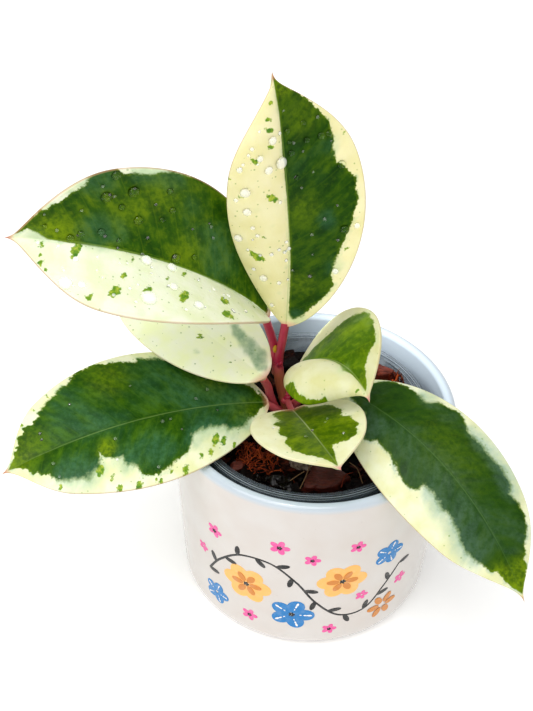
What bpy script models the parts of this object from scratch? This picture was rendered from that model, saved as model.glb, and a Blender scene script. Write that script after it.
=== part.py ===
# A young variegated hoya in a clear nursery pot, standing in a white glazed cover pot.
# Metres, +Z up. The origin is the centre of the cover pot's flat base.

import math
import random
from dataclasses import dataclass

import bmesh
import bpy
from mathutils import Matrix, Vector, noise

MM = 0.001
GAP = 0.3 * MM

# Cover pot: a straight wall that widens a little upwards, a fat round lip, a round foot.
POT_HEIGHT = 79 * MM
POT_TOP_RADIUS = 50 * MM
POT_FOOT_RADIUS = 46 * MM
POT_LIP = 3.8 * MM
POT_WALL = 3.2 * MM
POT_FLOOR = 4 * MM
POT_FOOT_ROUND = 6 * MM
POT_INNER_ROUND = 5 * MM

# Nursery pot: thin clear plastic, with a flat flange, a short collar and a tapered wall.
NURSERY_CENTRE = Vector((-0.8 * MM, -2 * MM, 0))
NURSERY_RIM_HEIGHT = 76.8 * MM
FLANGE_RADIUS = 42.3 * MM
FLANGE_WIDTH = 3.4 * MM
FLANGE_SKIRT = 4 * MM
FLANGE_THICKNESS = 1.2 * MM
FLANGE_OUTER_ROUND = 0.8 * MM
FLANGE_INNER_ROUND = 0.4 * MM
COLLAR_DEPTH = 8.5 * MM
COLLAR_STEP = 1.5 * MM
NURSERY_FLOOR_RADIUS = 31 * MM
NURSERY_WALL = 0.9 * MM
NURSERY_FOOT = 1.6 * MM
NURSERY_FOOT_WIDTH = 3 * MM
DRAIN_RADIUS = 1.6 * MM
DRAIN_CIRCLE = 20 * MM
DRAINS = 6

# Potting mix: its top lies below the rim, and it is broken up by husk chips.
SOIL_HEIGHT = 70 * MM
SOIL_RELIEF = 1.2 * MM
SOIL_LUMP = 7 * MM
SOIL_RINGS = 11
CHIP_COUNT = 14
CHIP_SEED = 7
CHIP_TILT = 0.3
CHIP_KNOCK = 0.16
STEM_CLEARING = 9

# Stem: it stands in a plain hole in the mix.
STEM_RADIUS = 1.8 * MM
STEM_END_SHARE = 0.95
STALK_RADIUS = 1.45 * MM
YOUNG_STALK_RADIUS = 1.15 * MM
STALK_END_SHARE = 0.85
PATH_SPACING = 2.5 * MM
STEM_FOOT = Vector((-9, 1.5, 57)) * MM
STEM_HOLE_RADIUS = 2.25 * MM

# Blades: thick and waxy, thickest along the midrib.
BLADE_RIB = 2.2 * MM
BLADE_EDGE_SHARE = 0.5
BLADE_STEPS = 22
BLADE_COLUMNS = 8

POT_SIDES = 56
INNER_SIDES = 48


@dataclass
class Blade:
    """One leaf blade, in millimetres and degrees. Pairs run from base to tip, or left to right."""

    base: tuple
    heading: tuple
    rise: tuple
    roll: tuple
    length: float
    half_width: tuple
    fold: tuple
    curl: tuple
    skew: float
    shoulder: float
    drip: tuple


BLADES = {
    "leaf_top": Blade(
        base=(-10.5, -2.5, 114), heading=(127, 158), rise=(93, 77), roll=(-26, -4), length=90.5,
        half_width=(19.5, 24.5), fold=(0, 22), curl=(-55, 0), skew=1.1, shoulder=0.65, drip=(0.5, 0.05)),
    "leaf_upper_left": Blade(
        base=(-16, 0, 115.5), heading=(205, 191), rise=(53, 4), roll=(-20, -57), length=95,
        half_width=(25, 27.5), fold=(22, 28), curl=(10, 15), skew=1.15, shoulder=0.7, drip=(0.45, 0.05)),
    "leaf_middle_left": Blade(
        base=(-16.5, -7, 95), heading=(143, 146), rise=(6, 20), roll=(-6, -16), length=80,
        half_width=(18.5, 20.5), fold=(11, 7), curl=(-15, -20), skew=0.9, shoulder=0.55, drip=(0.4, 0.05)),
    "leaf_lower_left": Blade(
        base=(-15, -6, 83), heading=(203, 211), rise=(16, -15), roll=(-16, -14), length=94,
        half_width=(24, 25), fold=(5, 10), curl=(-20, -10), skew=1, shoulder=0.8, drip=(0.35, 0.05)),
    "leaf_lower_right": Blade(
        base=(9, -5.5, 91), heading=(-37, -52), rise=(9, -50), roll=(12, 10), length=96,
        half_width=(19.5, 21.5), fold=(5, 1), curl=(-15, -25), skew=0.9, shoulder=0.7, drip=(0.45, 0.05)),
    "leaf_young_front": Blade(
        base=(-7, -11, 85), heading=(-69, -66), rise=(25, 12), roll=(2, 4), length=46.5,
        half_width=(18, 20), fold=(16, 15), curl=(-5, -5), skew=0.85, shoulder=0.7, drip=(0.6, 0.085)),
    "leaf_young_back": Blade(
        base=(-7.5, 1, 90), heading=(-24, -70), rise=(66, -20), roll=(-26, 31), length=47.5,
        half_width=(20.5, 21), fold=(40, 26), curl=(-10, -95), skew=0.95, shoulder=0.55, drip=(0.6, 0.085)),
}

# The points that each stalk runs through on its way from the stem to its blade, in millimetres.
STALKS = {
    "leaf_top": [(-12.7, 3, 89.5), (-12.5, 1.8, 97.6), (-11.6, -0.6, 106.2)],
    "leaf_upper_left": [(-13.1, 3.3, 88.6), (-14, 3, 97.4), (-15.3, 1.8, 105.7)],
    "leaf_middle_left": [(-9.6, 1.2, 72), (-12.9, 0, 74.4), (-15, -1.8, 82), (-15.7, -3.6, 87.5)],
    "leaf_lower_left": [(-9.4, 1, 71.8), (-11, -1.6, 73.4), (-12.8, -3.8, 77.5)],
    "leaf_lower_right": [(-9, 1.5, 73), (-5, 1.5, 77.5), (0.5, 0, 83.5), (5, -2.4, 88)],
    "leaf_young_front": [(-10.2, 1, 78), (-8.7, -1.5, 79), (-8, -5.5, 81.2)],
    "leaf_young_back": [(-10.2, 1, 78.5), (-8.6, 1.5, 82)],
}
STEM_POINTS = [
    (-9, 1.5, 64), (-9, 1.5, 71), (-9.5, 1.5, 75.3), (-10.6, 1.9, 79.2), (-12.1, 2.4, 86.2), (-13.2, 3, 93.6),
]

# Buds at the nodes: place and radius, in millimetres.
BUDS = {
    "tip_bud": ((-13.5, 1.9, 96.8), 1.3),
    "scale": ((-12.3, 1.5, 92), 1.3),
    "low_bud": ((-8.9, 0.3, 79.6), 1.2),
}

# Husk chips that the photo shows: place on the mix, and length, width and thickness.
LARGE_CHIPS = [
    ((13.5, -28, 70.5), (15, 12, 5), 20),
    ((25, 15.5, 72), (9, 7, 9), 70),
    ((-20, -22, 70.5), (12, 9, 4), -35),
]


def clear_scene():
    """Start from an empty scene."""
    for obj in list(bpy.data.objects):
        bpy.data.objects.remove(obj, do_unlink=True)


def new_collection(name):
    collection = bpy.data.collections.new(name)
    bpy.context.scene.collection.children.link(collection)
    return collection


def put_in(collection, obj):
    """Keep the object in one collection only."""
    for owner in list(obj.users_collection):
        owner.objects.unlink(obj)
    collection.objects.link(obj)


def linear(channel):
    """One sRGB channel, 0 to 1, as linear light."""
    return channel / 12.92 if channel <= 0.04045 else ((channel + 0.055) / 1.055) ** 2.4


def finish(name, colour, roughness, see_through=0.0):
    """A plain Principled material from an sRGB hex colour."""
    material = bpy.data.materials.new(name)
    material.use_nodes = True
    shader = material.node_tree.nodes["Principled BSDF"]
    rgb = [linear(int(colour[i:i + 2], 16) / 255) for i in (1, 3, 5)]
    shader.inputs["Base Color"].default_value = (*rgb, 1)
    shader.inputs["Roughness"].default_value = roughness
    shader.inputs["Metallic"].default_value = 0
    shader.inputs["Transmission Weight"].default_value = see_through
    return material


def rounded(corners, steps=4):
    """Points of an outline whose corners, given as radius, height and rounding, are arcs."""
    points = []
    for index, (r, z, rounding) in enumerate(corners):
        here = Vector((r, z))
        if rounding == 0:
            points.append(here)
            continue
        before = (Vector(corners[index - 1][:2]) - here).normalized()
        after = (Vector(corners[index + 1][:2]) - here).normalized()
        half_angle = before.angle(after) / 2
        reach = rounding / math.tan(half_angle)
        centre = here + (before + after).normalized() * (rounding / math.sin(half_angle))
        start = here + before * reach - centre
        turn = start.angle_signed(here + after * reach - centre)
        for step in range(steps + 1):
            angle = -turn * step / steps
            points.append(centre + Matrix.Rotation(angle, 2) @ start)
    return points


def turned(name, corners, centre, sides):
    """A solid of revolution, from an outline that runs down its outer side."""
    mesh = bpy.data.meshes.new(name)
    points = rounded(corners)
    edges = [(i, i + 1) for i in range(len(points) - 1)]
    mesh.from_pydata([(p.x, 0, p.y) for p in points], edges, [])
    obj = bpy.data.objects.new(name, mesh)
    put_in(bpy.context.scene.collection, obj)
    obj.location = centre
    screw = obj.modifiers.new("turn", "SCREW")
    screw.angle = math.tau
    screw.steps = sides
    screw.render_steps = sides
    screw.use_merge_vertices = True
    screw.merge_threshold = 0.00001
    return obj


def as_mesh(obj):
    """The evaluated object as a plain mesh object in its place, welded; the first one is removed."""
    bpy.context.view_layer.update()
    evaluated = obj.evaluated_get(bpy.context.evaluated_depsgraph_get())
    mesh = bpy.data.meshes.new_from_object(evaluated)
    plain = bpy.data.objects.new(obj.name, mesh)
    plain.matrix_world = obj.matrix_world
    name = obj.name
    bpy.data.objects.remove(obj, do_unlink=True)
    plain.name = name
    bpy.context.scene.collection.objects.link(plain)
    edit = bmesh.new()
    edit.from_mesh(mesh)
    bmesh.ops.remove_doubles(edit, verts=edit.verts, dist=0.00001)
    edit.to_mesh(mesh)
    edit.free()
    return plain


def fuse(target, pieces):
    """Join the pieces to the target in one Boolean union, then remove them."""
    joined = bpy.data.collections.new("joined")
    bpy.context.scene.collection.children.link(joined)
    for piece in pieces:
        put_in(joined, piece)
    union = target.modifiers.new("join", "BOOLEAN")
    union.operation = "UNION"
    union.operand_type = "COLLECTION"
    union.collection = joined
    solid = as_mesh(target)
    for piece in pieces:
        bpy.data.objects.remove(piece, do_unlink=True)
    bpy.data.collections.remove(joined)
    return solid


def cutter(name, radius, low, high, centre, sides=16):
    """A round cutter between two heights."""
    bpy.ops.mesh.primitive_cylinder_add(
        vertices=sides, radius=radius, depth=high - low, location=(centre.x, centre.y, (low + high) / 2))
    obj = bpy.context.object
    obj.name = name
    obj.hide_render = True
    obj.display_type = "WIRE"
    put_in(cutters, obj)
    return obj


def cut(obj, tool):
    bore = obj.modifiers.new("cut " + tool.name, "BOOLEAN")
    bore.operation = "DIFFERENCE"
    bore.object = tool


def make_cover_pot():
    """The glazed pot that the clear pot stands in."""
    def wall_radius(z):
        return POT_FOOT_RADIUS + (POT_TOP_RADIUS - POT_FOOT_RADIUS) * z / POT_HEIGHT

    lip_round = POT_LIP / 2 - 0.05 * MM
    inner_floor_radius = wall_radius(POT_FLOOR) - POT_WALL
    corners = [
        (0, POT_FLOOR, 0),
        (inner_floor_radius, POT_FLOOR, POT_INNER_ROUND),
        (POT_TOP_RADIUS - POT_LIP, POT_HEIGHT, lip_round),
        (POT_TOP_RADIUS, POT_HEIGHT, lip_round),
        (POT_FOOT_RADIUS, 0, POT_FOOT_ROUND),
        (0, 0, 0),
    ]
    pot = turned("cachepot", corners, Vector((0, 0, 0)), POT_SIDES)
    pot.data.materials.append(finish("glazed white ceramic", "#ECE9E8", 0.12))
    put_in(model, pot)


def nursery_wall_radius(z):
    """Outer radius of the clear pot's tapered wall."""
    top = NURSERY_RIM_HEIGHT - COLLAR_DEPTH
    bottom = POT_FLOOR + GAP
    top_radius = FLANGE_RADIUS - FLANGE_WIDTH + NURSERY_WALL - COLLAR_STEP
    return NURSERY_FLOOR_RADIUS + (top_radius - NURSERY_FLOOR_RADIUS) * (z - bottom) / (top - bottom)


def make_nursery_pot():
    """The thin clear pot: its flange hooks outwards, and its floor stands on a foot ring."""
    foot = POT_FLOOR + GAP
    floor_low = foot + NURSERY_FOOT
    floor_high = floor_low + NURSERY_WALL
    rim = NURSERY_RIM_HEIGHT
    collar_inside = FLANGE_RADIUS - FLANGE_WIDTH
    collar_low = rim - COLLAR_DEPTH
    step_inside = collar_inside - COLLAR_STEP
    corners = [
        (0, floor_high, 0),
        (nursery_wall_radius(floor_high) - NURSERY_WALL, floor_high, 0),
        (step_inside, collar_low, 0),
        (collar_inside, collar_low + COLLAR_STEP / 2, 0),
        (collar_inside, rim, FLANGE_INNER_ROUND),
        (FLANGE_RADIUS, rim, FLANGE_OUTER_ROUND),
        (FLANGE_RADIUS, rim - FLANGE_SKIRT, 0),
        (FLANGE_RADIUS - NURSERY_WALL, rim - FLANGE_SKIRT, 0),
        (FLANGE_RADIUS - NURSERY_WALL, rim - FLANGE_THICKNESS, 0),
        (collar_inside + NURSERY_WALL, rim - FLANGE_THICKNESS, 0),
        (collar_inside + NURSERY_WALL, collar_low, 0),
        (step_inside + NURSERY_WALL, collar_low - COLLAR_STEP / 2, 0),
        (NURSERY_FLOOR_RADIUS, foot, 0),
        (NURSERY_FLOOR_RADIUS - NURSERY_FOOT_WIDTH, foot, 0),
        (NURSERY_FLOOR_RADIUS - NURSERY_FOOT_WIDTH, floor_low, 0),
        (0, floor_low, 0),
    ]
    pot = turned("nursery_pot", corners, NURSERY_CENTRE, INNER_SIDES)
    for number in range(DRAINS):
        angle = math.tau * number / DRAINS
        place = NURSERY_CENTRE + Vector((math.cos(angle), math.sin(angle), 0)) * DRAIN_CIRCLE
        cut(pot, cutter(f"drain_{number}", DRAIN_RADIUS, foot - MM, floor_high + MM, place, 12))
    pot.data.materials.append(finish("clear smoky plastic", "#55595C", 0.2, 0.6))
    put_in(model, pot)


def husk_chip(place, size, turn, rng):
    """A broken flake of bark or husk: a block with its corners knocked about."""
    bpy.ops.mesh.primitive_cube_add(size=1)
    chip = bpy.context.object
    for vertex in chip.data.vertices:
        knock = Vector([rng.uniform(-CHIP_KNOCK, CHIP_KNOCK) for _ in range(3)])
        vertex.co = (vertex.co + knock) * Vector(size) * MM
    chip.location = Vector(place) * MM
    tilts = [rng.uniform(-CHIP_TILT, CHIP_TILT) for _ in range(2)]
    chip.rotation_euler = (*tilts, math.radians(turn))
    return chip


def scattered_chips():
    """The chips of the photo and smaller ones between them, clear of the stem and of each other."""
    rng = random.Random(CHIP_SEED)
    taken = [(Vector(place[:2]), max(size) / 2) for place, size, _ in LARGE_CHIPS]
    chips = [husk_chip(place, size, turn, rng) for place, size, turn in LARGE_CHIPS]
    reach = (FLANGE_RADIUS - FLANGE_WIDTH - COLLAR_STEP) / MM - 6
    while len(chips) < len(LARGE_CHIPS) + CHIP_COUNT:
        angle = rng.uniform(0, math.tau)
        radius = reach * math.sqrt(rng.uniform(0, 1))
        size = (rng.uniform(6, 10), rng.uniform(3.5, 6), rng.uniform(2.5, 4))
        spot = Vector((radius * math.cos(angle), radius * math.sin(angle))) + NURSERY_CENTRE.xy / MM
        if (spot - STEM_FOOT.xy / MM).length < STEM_CLEARING:
            continue
        if any((spot - other).length < reserve + size[0] / 2 for other, reserve in taken):
            continue
        taken.append((spot, size[0] / 2))
        chips.append(husk_chip((spot.x, spot.y, SOIL_HEIGHT / MM), size, rng.uniform(0, 180), rng))
    return chips


def make_soil():
    """Bark mix that fills the clear pot, with relief and husk chips on top and the stem's hole."""
    low = POT_FLOOR + GAP + NURSERY_FOOT + NURSERY_WALL + GAP
    collar_low = NURSERY_RIM_HEIGHT - COLLAR_DEPTH
    side_gap = NURSERY_WALL + GAP
    top_radius = FLANGE_RADIUS - FLANGE_WIDTH - 1.5 * GAP
    rings = [(top_radius * i / SOIL_RINGS, SOIL_HEIGHT, 0) for i in range(SOIL_RINGS + 1)]
    corners = rings + [
        (top_radius, collar_low + COLLAR_STEP, 0),
        (nursery_wall_radius(collar_low) - side_gap, collar_low - GAP, 0),
        (nursery_wall_radius(low) - side_gap, low, 0),
        (0, low, 0),
    ]
    soil = as_mesh(turned("soil", corners, NURSERY_CENTRE, INNER_SIDES))
    for vertex in soil.data.vertices:
        radius = vertex.co.xy.length
        if vertex.co.z > SOIL_HEIGHT - MM and radius < top_radius - MM:
            edge_share = min(1, (top_radius - radius) / (3 * MM))
            lumps = noise.fractal(vertex.co / SOIL_LUMP, 1, 2, 2)
            vertex.co.z += SOIL_RELIEF * lumps * edge_share
    soil = fuse(soil, scattered_chips())
    hole_low = STEM_FOOT.z - GAP
    cut(soil, cutter("stem_hole", STEM_HOLE_RADIUS, hole_low, POT_HEIGHT, STEM_FOOT))
    soil.data.materials.clear()
    soil.data.materials.append(finish("bark mix", "#2A130B", 0.85))
    put_in(model, soil)


def smooth_path(points, spacing):
    """Points at about one spacing on a smooth curve through the given ones."""
    ends = [points[0] * 2 - points[1]] + points + [points[-1] * 2 - points[-2]]
    path = []
    for a, b, c, d in zip(ends, ends[1:], ends[2:], ends[3:]):
        steps = max(1, round((c - b).length / spacing))
        for step in range(steps):
            t = step / steps
            path.append(0.5 * (2 * b + (c - a) * t + (2 * a - 5 * b + 4 * c - d) * t ** 2
                               + (3 * b - a - 3 * c + d) * t ** 3))
    return path + [points[-1]]


def tube(name, points, radius, end_share):
    """A round rod along a smooth path, thinning to a share of its radius at the end."""
    curve = bpy.data.curves.new(name, "CURVE")
    curve.dimensions = "3D"
    curve.bevel_depth = radius
    curve.bevel_resolution = 2
    curve.use_fill_caps = True
    path = smooth_path(points, PATH_SPACING)
    spline = curve.splines.new("POLY")
    spline.points.add(len(path) - 1)
    for index, (point, place) in enumerate(zip(spline.points, path)):
        point.co = (*place, 1)
        point.radius = 1 + (end_share - 1) * index / (len(path) - 1)
    obj = bpy.data.objects.new(name, curve)
    bpy.context.scene.collection.objects.link(obj)
    return as_mesh(obj)


def mix(pair, t):
    return pair[0] + (pair[1] - pair[0]) * t


def blade_axes(blade, t):
    """Directions along the midrib, to the leaf's left and up from its face, at t from base to tip."""
    heading, rise, roll = (math.radians(mix(pair, t)) for pair in (blade.heading, blade.rise, blade.roll))
    along = Vector((math.cos(rise) * math.cos(heading), math.cos(rise) * math.sin(heading), math.sin(rise)))
    level = Vector((-math.sin(heading), math.cos(heading), 0))
    up = along.cross(level)
    left = math.cos(roll) * level + math.sin(roll) * up
    return along, left, along.cross(left)


def blade_outline(blade, t):
    """Half width at t as a share of the widest: round at the base, with a drawn out drip tip."""
    body = math.sin(math.pi * t ** blade.skew) ** 0.6 if 0 < t < 1 else 0
    taper = (max(0, t - blade.shoulder) / (1 - blade.shoulder)) ** 2.5
    depth, reach = blade.drip
    return body * (1 - taper) * (1 - depth * math.exp(-((1 - t) / reach) ** 2))


def half_section(fold, curl, v):
    """Across and up from the midrib to v of the half width: an arc that starts at the fold."""
    start = math.radians(fold)
    bend = math.radians(curl)
    if abs(bend) < 0.001:
        return v * math.cos(start), v * math.sin(start)
    end = start + bend * v
    return (math.sin(end) - math.sin(start)) / bend, (math.cos(start) - math.cos(end)) / bend


def make_blade(name, blade, colour):
    """A waxy blade: a grid laid on the leaf's formula, split into triangles, then thickened."""
    bpy.ops.mesh.primitive_grid_add(x_subdivisions=BLADE_STEPS, y_subdivisions=BLADE_COLUMNS, size=2)
    leaf = bpy.context.object
    leaf.name = name
    leaf.data.name = name
    spots = [(1 - math.cos(math.pi * i / BLADE_STEPS)) / 2 for i in range(BLADE_STEPS + 1)]
    midrib = [Vector(blade.base)]
    for before, after in zip(spots, spots[1:]):
        along = blade_axes(blade, (before + after) / 2)[0]
        midrib.append(midrib[-1] + along * (after - before) * blade.length)
    rib = leaf.vertex_groups.new(name="rib")
    for vertex in leaf.data.vertices:
        index = round((vertex.co.x + 1) / 2 * BLADE_STEPS)
        v = vertex.co.y
        side = 0 if v > 0 else 1
        left, up = blade_axes(blade, spots[index])[1:]
        across, rise = half_section(blade.fold[side], blade.curl[side], abs(v))
        width = blade_outline(blade, spots[index]) * blade.half_width[side]
        place = midrib[index] + width * (math.copysign(across, v) * left + rise * up)
        rib.add([vertex.index], (1 - abs(v)) ** 2, "REPLACE")
        vertex.co = place * MM
    edit = bmesh.new()
    edit.from_mesh(leaf.data)
    bmesh.ops.remove_doubles(edit, verts=edit.verts, dist=0.00001)
    bmesh.ops.triangulate(edit, faces=edit.faces, quad_method="SHORT_EDGE")
    edit.to_mesh(leaf.data)
    edit.free()
    shell = leaf.modifiers.new("thickness", "SOLIDIFY")
    shell.thickness = BLADE_RIB
    shell.offset = -1
    shell.vertex_group = "rib"
    shell.thickness_vertex_group = BLADE_EDGE_SHARE
    leaf.data.shade_smooth()
    leaf.data.materials.append(finish(name + " skin", colour, 0.35))
    put_in(model, leaf)


def stalk_tip(blade, before, radius):
    """The end of a stalk that comes from a point: just short of the blade's base, in its thickness."""
    along, _, up = blade_axes(blade, 0)
    base = Vector(blade.base) * MM
    slant = (base - before).normalized().angle(along)
    reach = radius * STALK_END_SHARE * math.sin(slant)
    return base - along * (reach + GAP) - up * BLADE_RIB / 2


def make_stem():
    """The woody stem with all of its leaf stalks and buds grown on it."""
    stem_path = [STEM_FOOT] + [Vector(point) * MM for point in STEM_POINTS]
    stem = tube("stem", stem_path, STEM_RADIUS, STEM_END_SHARE)
    grown = []
    for name, points in STALKS.items():
        radius = YOUNG_STALK_RADIUS if "young" in name else STALK_RADIUS
        path = [Vector(point) * MM for point in points]
        path.append(stalk_tip(BLADES[name], path[-1], radius))
        grown.append(tube("stalk_" + name, path, radius, STALK_END_SHARE))
    for name, (place, radius) in BUDS.items():
        bpy.ops.mesh.primitive_ico_sphere_add(subdivisions=1, radius=radius * MM, location=Vector(place) * MM)
        bpy.context.object.name = name
        grown.append(bpy.context.object)
    stem = fuse(stem, grown)
    stem.data.materials.clear()
    stem.data.materials.append(finish("stem bark and stalk skin", "#9A3540", 0.5))
    put_in(model, stem)


LEAF_COLOURS = {
    "leaf_top": "#8FA24E", "leaf_upper_left": "#93A65A", "leaf_middle_left": "#DDE0A6",
    "leaf_lower_left": "#5F7F2C", "leaf_lower_right": "#6E8A3C",
    "leaf_young_front": "#A9B455", "leaf_young_back": "#9CAB46",
}

clear_scene()
model = new_collection("potted_hoya")
cutters = new_collection("cutters")
make_cover_pot()
make_nursery_pot()
make_soil()
make_stem()
for leaf_name, leaf_blade in BLADES.items():
    make_blade(leaf_name, leaf_blade, LEAF_COLOURS[leaf_name])
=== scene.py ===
# The looks of a young variegated hoya in a clear nursery pot, standing in a white glazed cover pot.

import math
import random
from dataclasses import dataclass

import bmesh
import bpy
import numpy as np
from mathutils import Matrix, Vector, noise


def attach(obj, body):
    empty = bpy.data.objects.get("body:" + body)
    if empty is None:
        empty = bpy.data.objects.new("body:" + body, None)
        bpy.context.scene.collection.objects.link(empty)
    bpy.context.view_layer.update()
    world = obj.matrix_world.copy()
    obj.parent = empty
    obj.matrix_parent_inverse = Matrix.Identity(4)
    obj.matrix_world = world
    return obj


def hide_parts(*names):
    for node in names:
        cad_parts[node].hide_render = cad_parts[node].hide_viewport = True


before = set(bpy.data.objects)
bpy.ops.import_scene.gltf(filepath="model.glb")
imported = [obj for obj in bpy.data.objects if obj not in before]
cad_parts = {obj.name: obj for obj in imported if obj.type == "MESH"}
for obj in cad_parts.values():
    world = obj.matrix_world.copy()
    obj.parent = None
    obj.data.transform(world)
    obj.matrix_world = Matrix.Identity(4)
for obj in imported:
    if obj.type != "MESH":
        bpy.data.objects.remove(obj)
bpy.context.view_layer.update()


# Camera
# It looks down on the pot at the photograph's angle, from straight in front and turned a little to the
# left. The lens is a short telephoto, so the rim stays nearly a true ellipse.

MM = 0.001
LENS = 60.76
SENSOR_WIDTH = 36
CAMERA_PLACE = Vector((0, -304.36, 366.29)) * MM
CAMERA_TURN = math.radians(3.15)
CAMERA_DIP = math.radians(41.27)
CAMERA_ROLL = math.radians(1.51)

stage_scene = bpy.context.scene
camera = bpy.data.objects.new("camera", bpy.data.cameras.new("camera"))
stage_scene.collection.objects.link(camera)
stage_scene.camera = camera
camera.data.lens = LENS
camera.data.sensor_width = SENSOR_WIDTH
camera.data.clip_start = 10 * MM
camera.location = CAMERA_PLACE
aim = Matrix.Rotation(CAMERA_TURN, 3, "Z") @ Matrix.Rotation(math.radians(90) - CAMERA_DIP, 3, "X")
camera.rotation_euler = (aim @ Matrix.Rotation(CAMERA_ROLL, 3, "Z")).to_euler()


# Cover pot
# A slip-cast stoneware pot, dipped in a warm white gloss glaze. The wall widens a little upwards to a
# fat round lip, which is painted with a bluish highlight, and the foot is wiped bare of glaze.

POT_HEIGHT = 79 * MM
POT_TOP_RADIUS = 50 * MM
POT_FOOT_RADIUS = 46 * MM
POT_LIP = 3.8 * MM
POT_WALL = 3.2 * MM
POT_FLOOR = 4 * MM
POT_FOOT_ROUND = 6 * MM
POT_INNER_ROUND = 5 * MM
POT_SIDES = 160
POT_CORNER_STEPS = 12
SCREW_WELD = 0.01 * MM
SEAM_WELD = 0.005 * MM
GLAZE_RIPPLE = 9 * MM
GLAZE_CLOUD = 14 * MM
GLAZE_SPECKS = 5 * MM
WIPED_FOOT = (0.15 * MM, 0.35 * MM)
LIP_TURNS = (POT_HEIGHT - 3 * MM, POT_HEIGHT - 1 * MM)


def linear(colour):
    """An sRGB hex colour as linear red, green, blue and alpha."""
    channels = [int(colour[i:i + 2], 16) / 255 for i in (1, 3, 5)]
    return [c / 12.92 if c <= 0.04045 else ((c + 0.055) / 1.055) ** 2.4 for c in channels] + [1]


def feed(tree, node, sockets):
    """Give each socket a value, an sRGB hex colour, or the output or node that feeds it."""
    for key, value in sockets.items():
        if isinstance(value, bpy.types.Node):
            value = next(output for output in value.outputs if output.enabled)
        if isinstance(value, bpy.types.NodeSocket):
            tree.links.new(value, node.inputs[key])
        elif isinstance(value, str) and value.startswith("#"):
            node.inputs[key].default_value = linear(value)
        else:
            node.inputs[key].default_value = value


def add(tree, kind, sockets=None, stops=(), **settings):
    """A new node with its sockets fed. Settings are its properties, stops a ramp's places and colours.

    A colour mix takes its share in socket 0 and its two colours in 6 and 7. A range takes its value in
    socket 0, what it runs from in 1 and 2 and what it runs to in 3 and 4."""
    node = tree.nodes.new(kind)
    for name, value in settings.items():
        setattr(node, name, value)
    feed(tree, node, sockets or {})
    for index, (position, colour) in enumerate(stops):
        elements = node.color_ramp.elements
        stop = elements[index] if index < len(elements) else elements.new(position)
        stop.position = position
        stop.color = linear(colour)
    return node


def new_material(name):
    """A material's node tree with its shader, and the material itself."""
    material = bpy.data.materials.new(name)
    material.use_nodes = True
    tree = material.node_tree
    return material, tree, tree.nodes["Principled BSDF"]


def add_object(name, mesh):
    """A mesh as an object at the origin of the scene."""
    obj = bpy.data.objects.new(name, mesh)
    stage_scene.collection.objects.link(obj)
    return obj


def finish_piece(piece, slot, *nodes):
    """The piece rides on the only body and stands for the CAD nodes that it replaces. Its slot is not used.
    """
    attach(piece, "root")
    if nodes:
        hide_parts(*nodes)


def rounded(corners, steps):
    """Points of an outline whose corners, given as radius, height and rounding, are arcs."""
    points = []
    for index, (r, z, rounding) in enumerate(corners):
        here = Vector((r, z))
        if rounding == 0:
            points.append(here)
            continue
        before = (Vector(corners[index - 1][:2]) - here).normalized()
        after = (Vector(corners[index + 1][:2]) - here).normalized()
        half_angle = before.angle(after) / 2
        reach = rounding / math.tan(half_angle)
        centre = here + (before + after).normalized() * (rounding / math.sin(half_angle))
        start = here + before * reach - centre
        turn = start.angle_signed(here + after * reach - centre)
        for step in range(steps + 1):
            points.append(centre + Matrix.Rotation(-turn * step / steps, 2) @ start)
    return points


def turned(name, points, centre, sides):
    """A closed solid of revolution, from an outline that runs down its outer side."""
    mesh = bpy.data.meshes.new(name)
    edges = [(i, i + 1) for i in range(len(points) - 1)]
    mesh.from_pydata([(p.x, 0, p.y) for p in points], edges, [])
    holder = add_object(name, mesh)
    screw = holder.modifiers.new("turn", "SCREW")
    screw.angle = math.tau
    screw.steps = sides
    screw.render_steps = sides
    screw.use_merge_vertices = True
    screw.merge_threshold = SCREW_WELD
    bpy.context.view_layer.update()
    solid = bpy.data.meshes.new_from_object(holder.evaluated_get(bpy.context.evaluated_depsgraph_get()))
    bpy.data.objects.remove(holder)
    edit = bmesh.new()
    edit.from_mesh(solid)
    bmesh.ops.remove_doubles(edit, verts=edit.verts, dist=SEAM_WELD)
    bmesh.ops.translate(edit, verts=edit.verts, vec=centre)
    bmesh.ops.recalc_face_normals(edit, faces=edit.faces)
    edit.to_mesh(solid)
    edit.free()
    solid.name = name
    solid.shade_smooth()
    return add_object(name, solid)


def pot_radius(z):
    """Outer radius of the cover pot's straight wall."""
    return POT_FOOT_RADIUS + (POT_TOP_RADIUS - POT_FOOT_RADIUS) * z / POT_HEIGHT


lip_round = POT_LIP / 2 - 0.05 * MM
pot_outline = rounded([
    (0, POT_FLOOR, 0),
    (pot_radius(POT_FLOOR) - POT_WALL, POT_FLOOR, POT_INNER_ROUND),
    (POT_TOP_RADIUS - POT_LIP, POT_HEIGHT, lip_round),
    (POT_TOP_RADIUS, POT_HEIGHT, lip_round),
    (POT_FOOT_RADIUS, 0, POT_FOOT_ROUND),
    (0, 0, 0),
], POT_CORNER_STEPS)
cover_pot = turned("cover_pot", pot_outline, Vector((0, 0, 0)), POT_SIDES)

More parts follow.
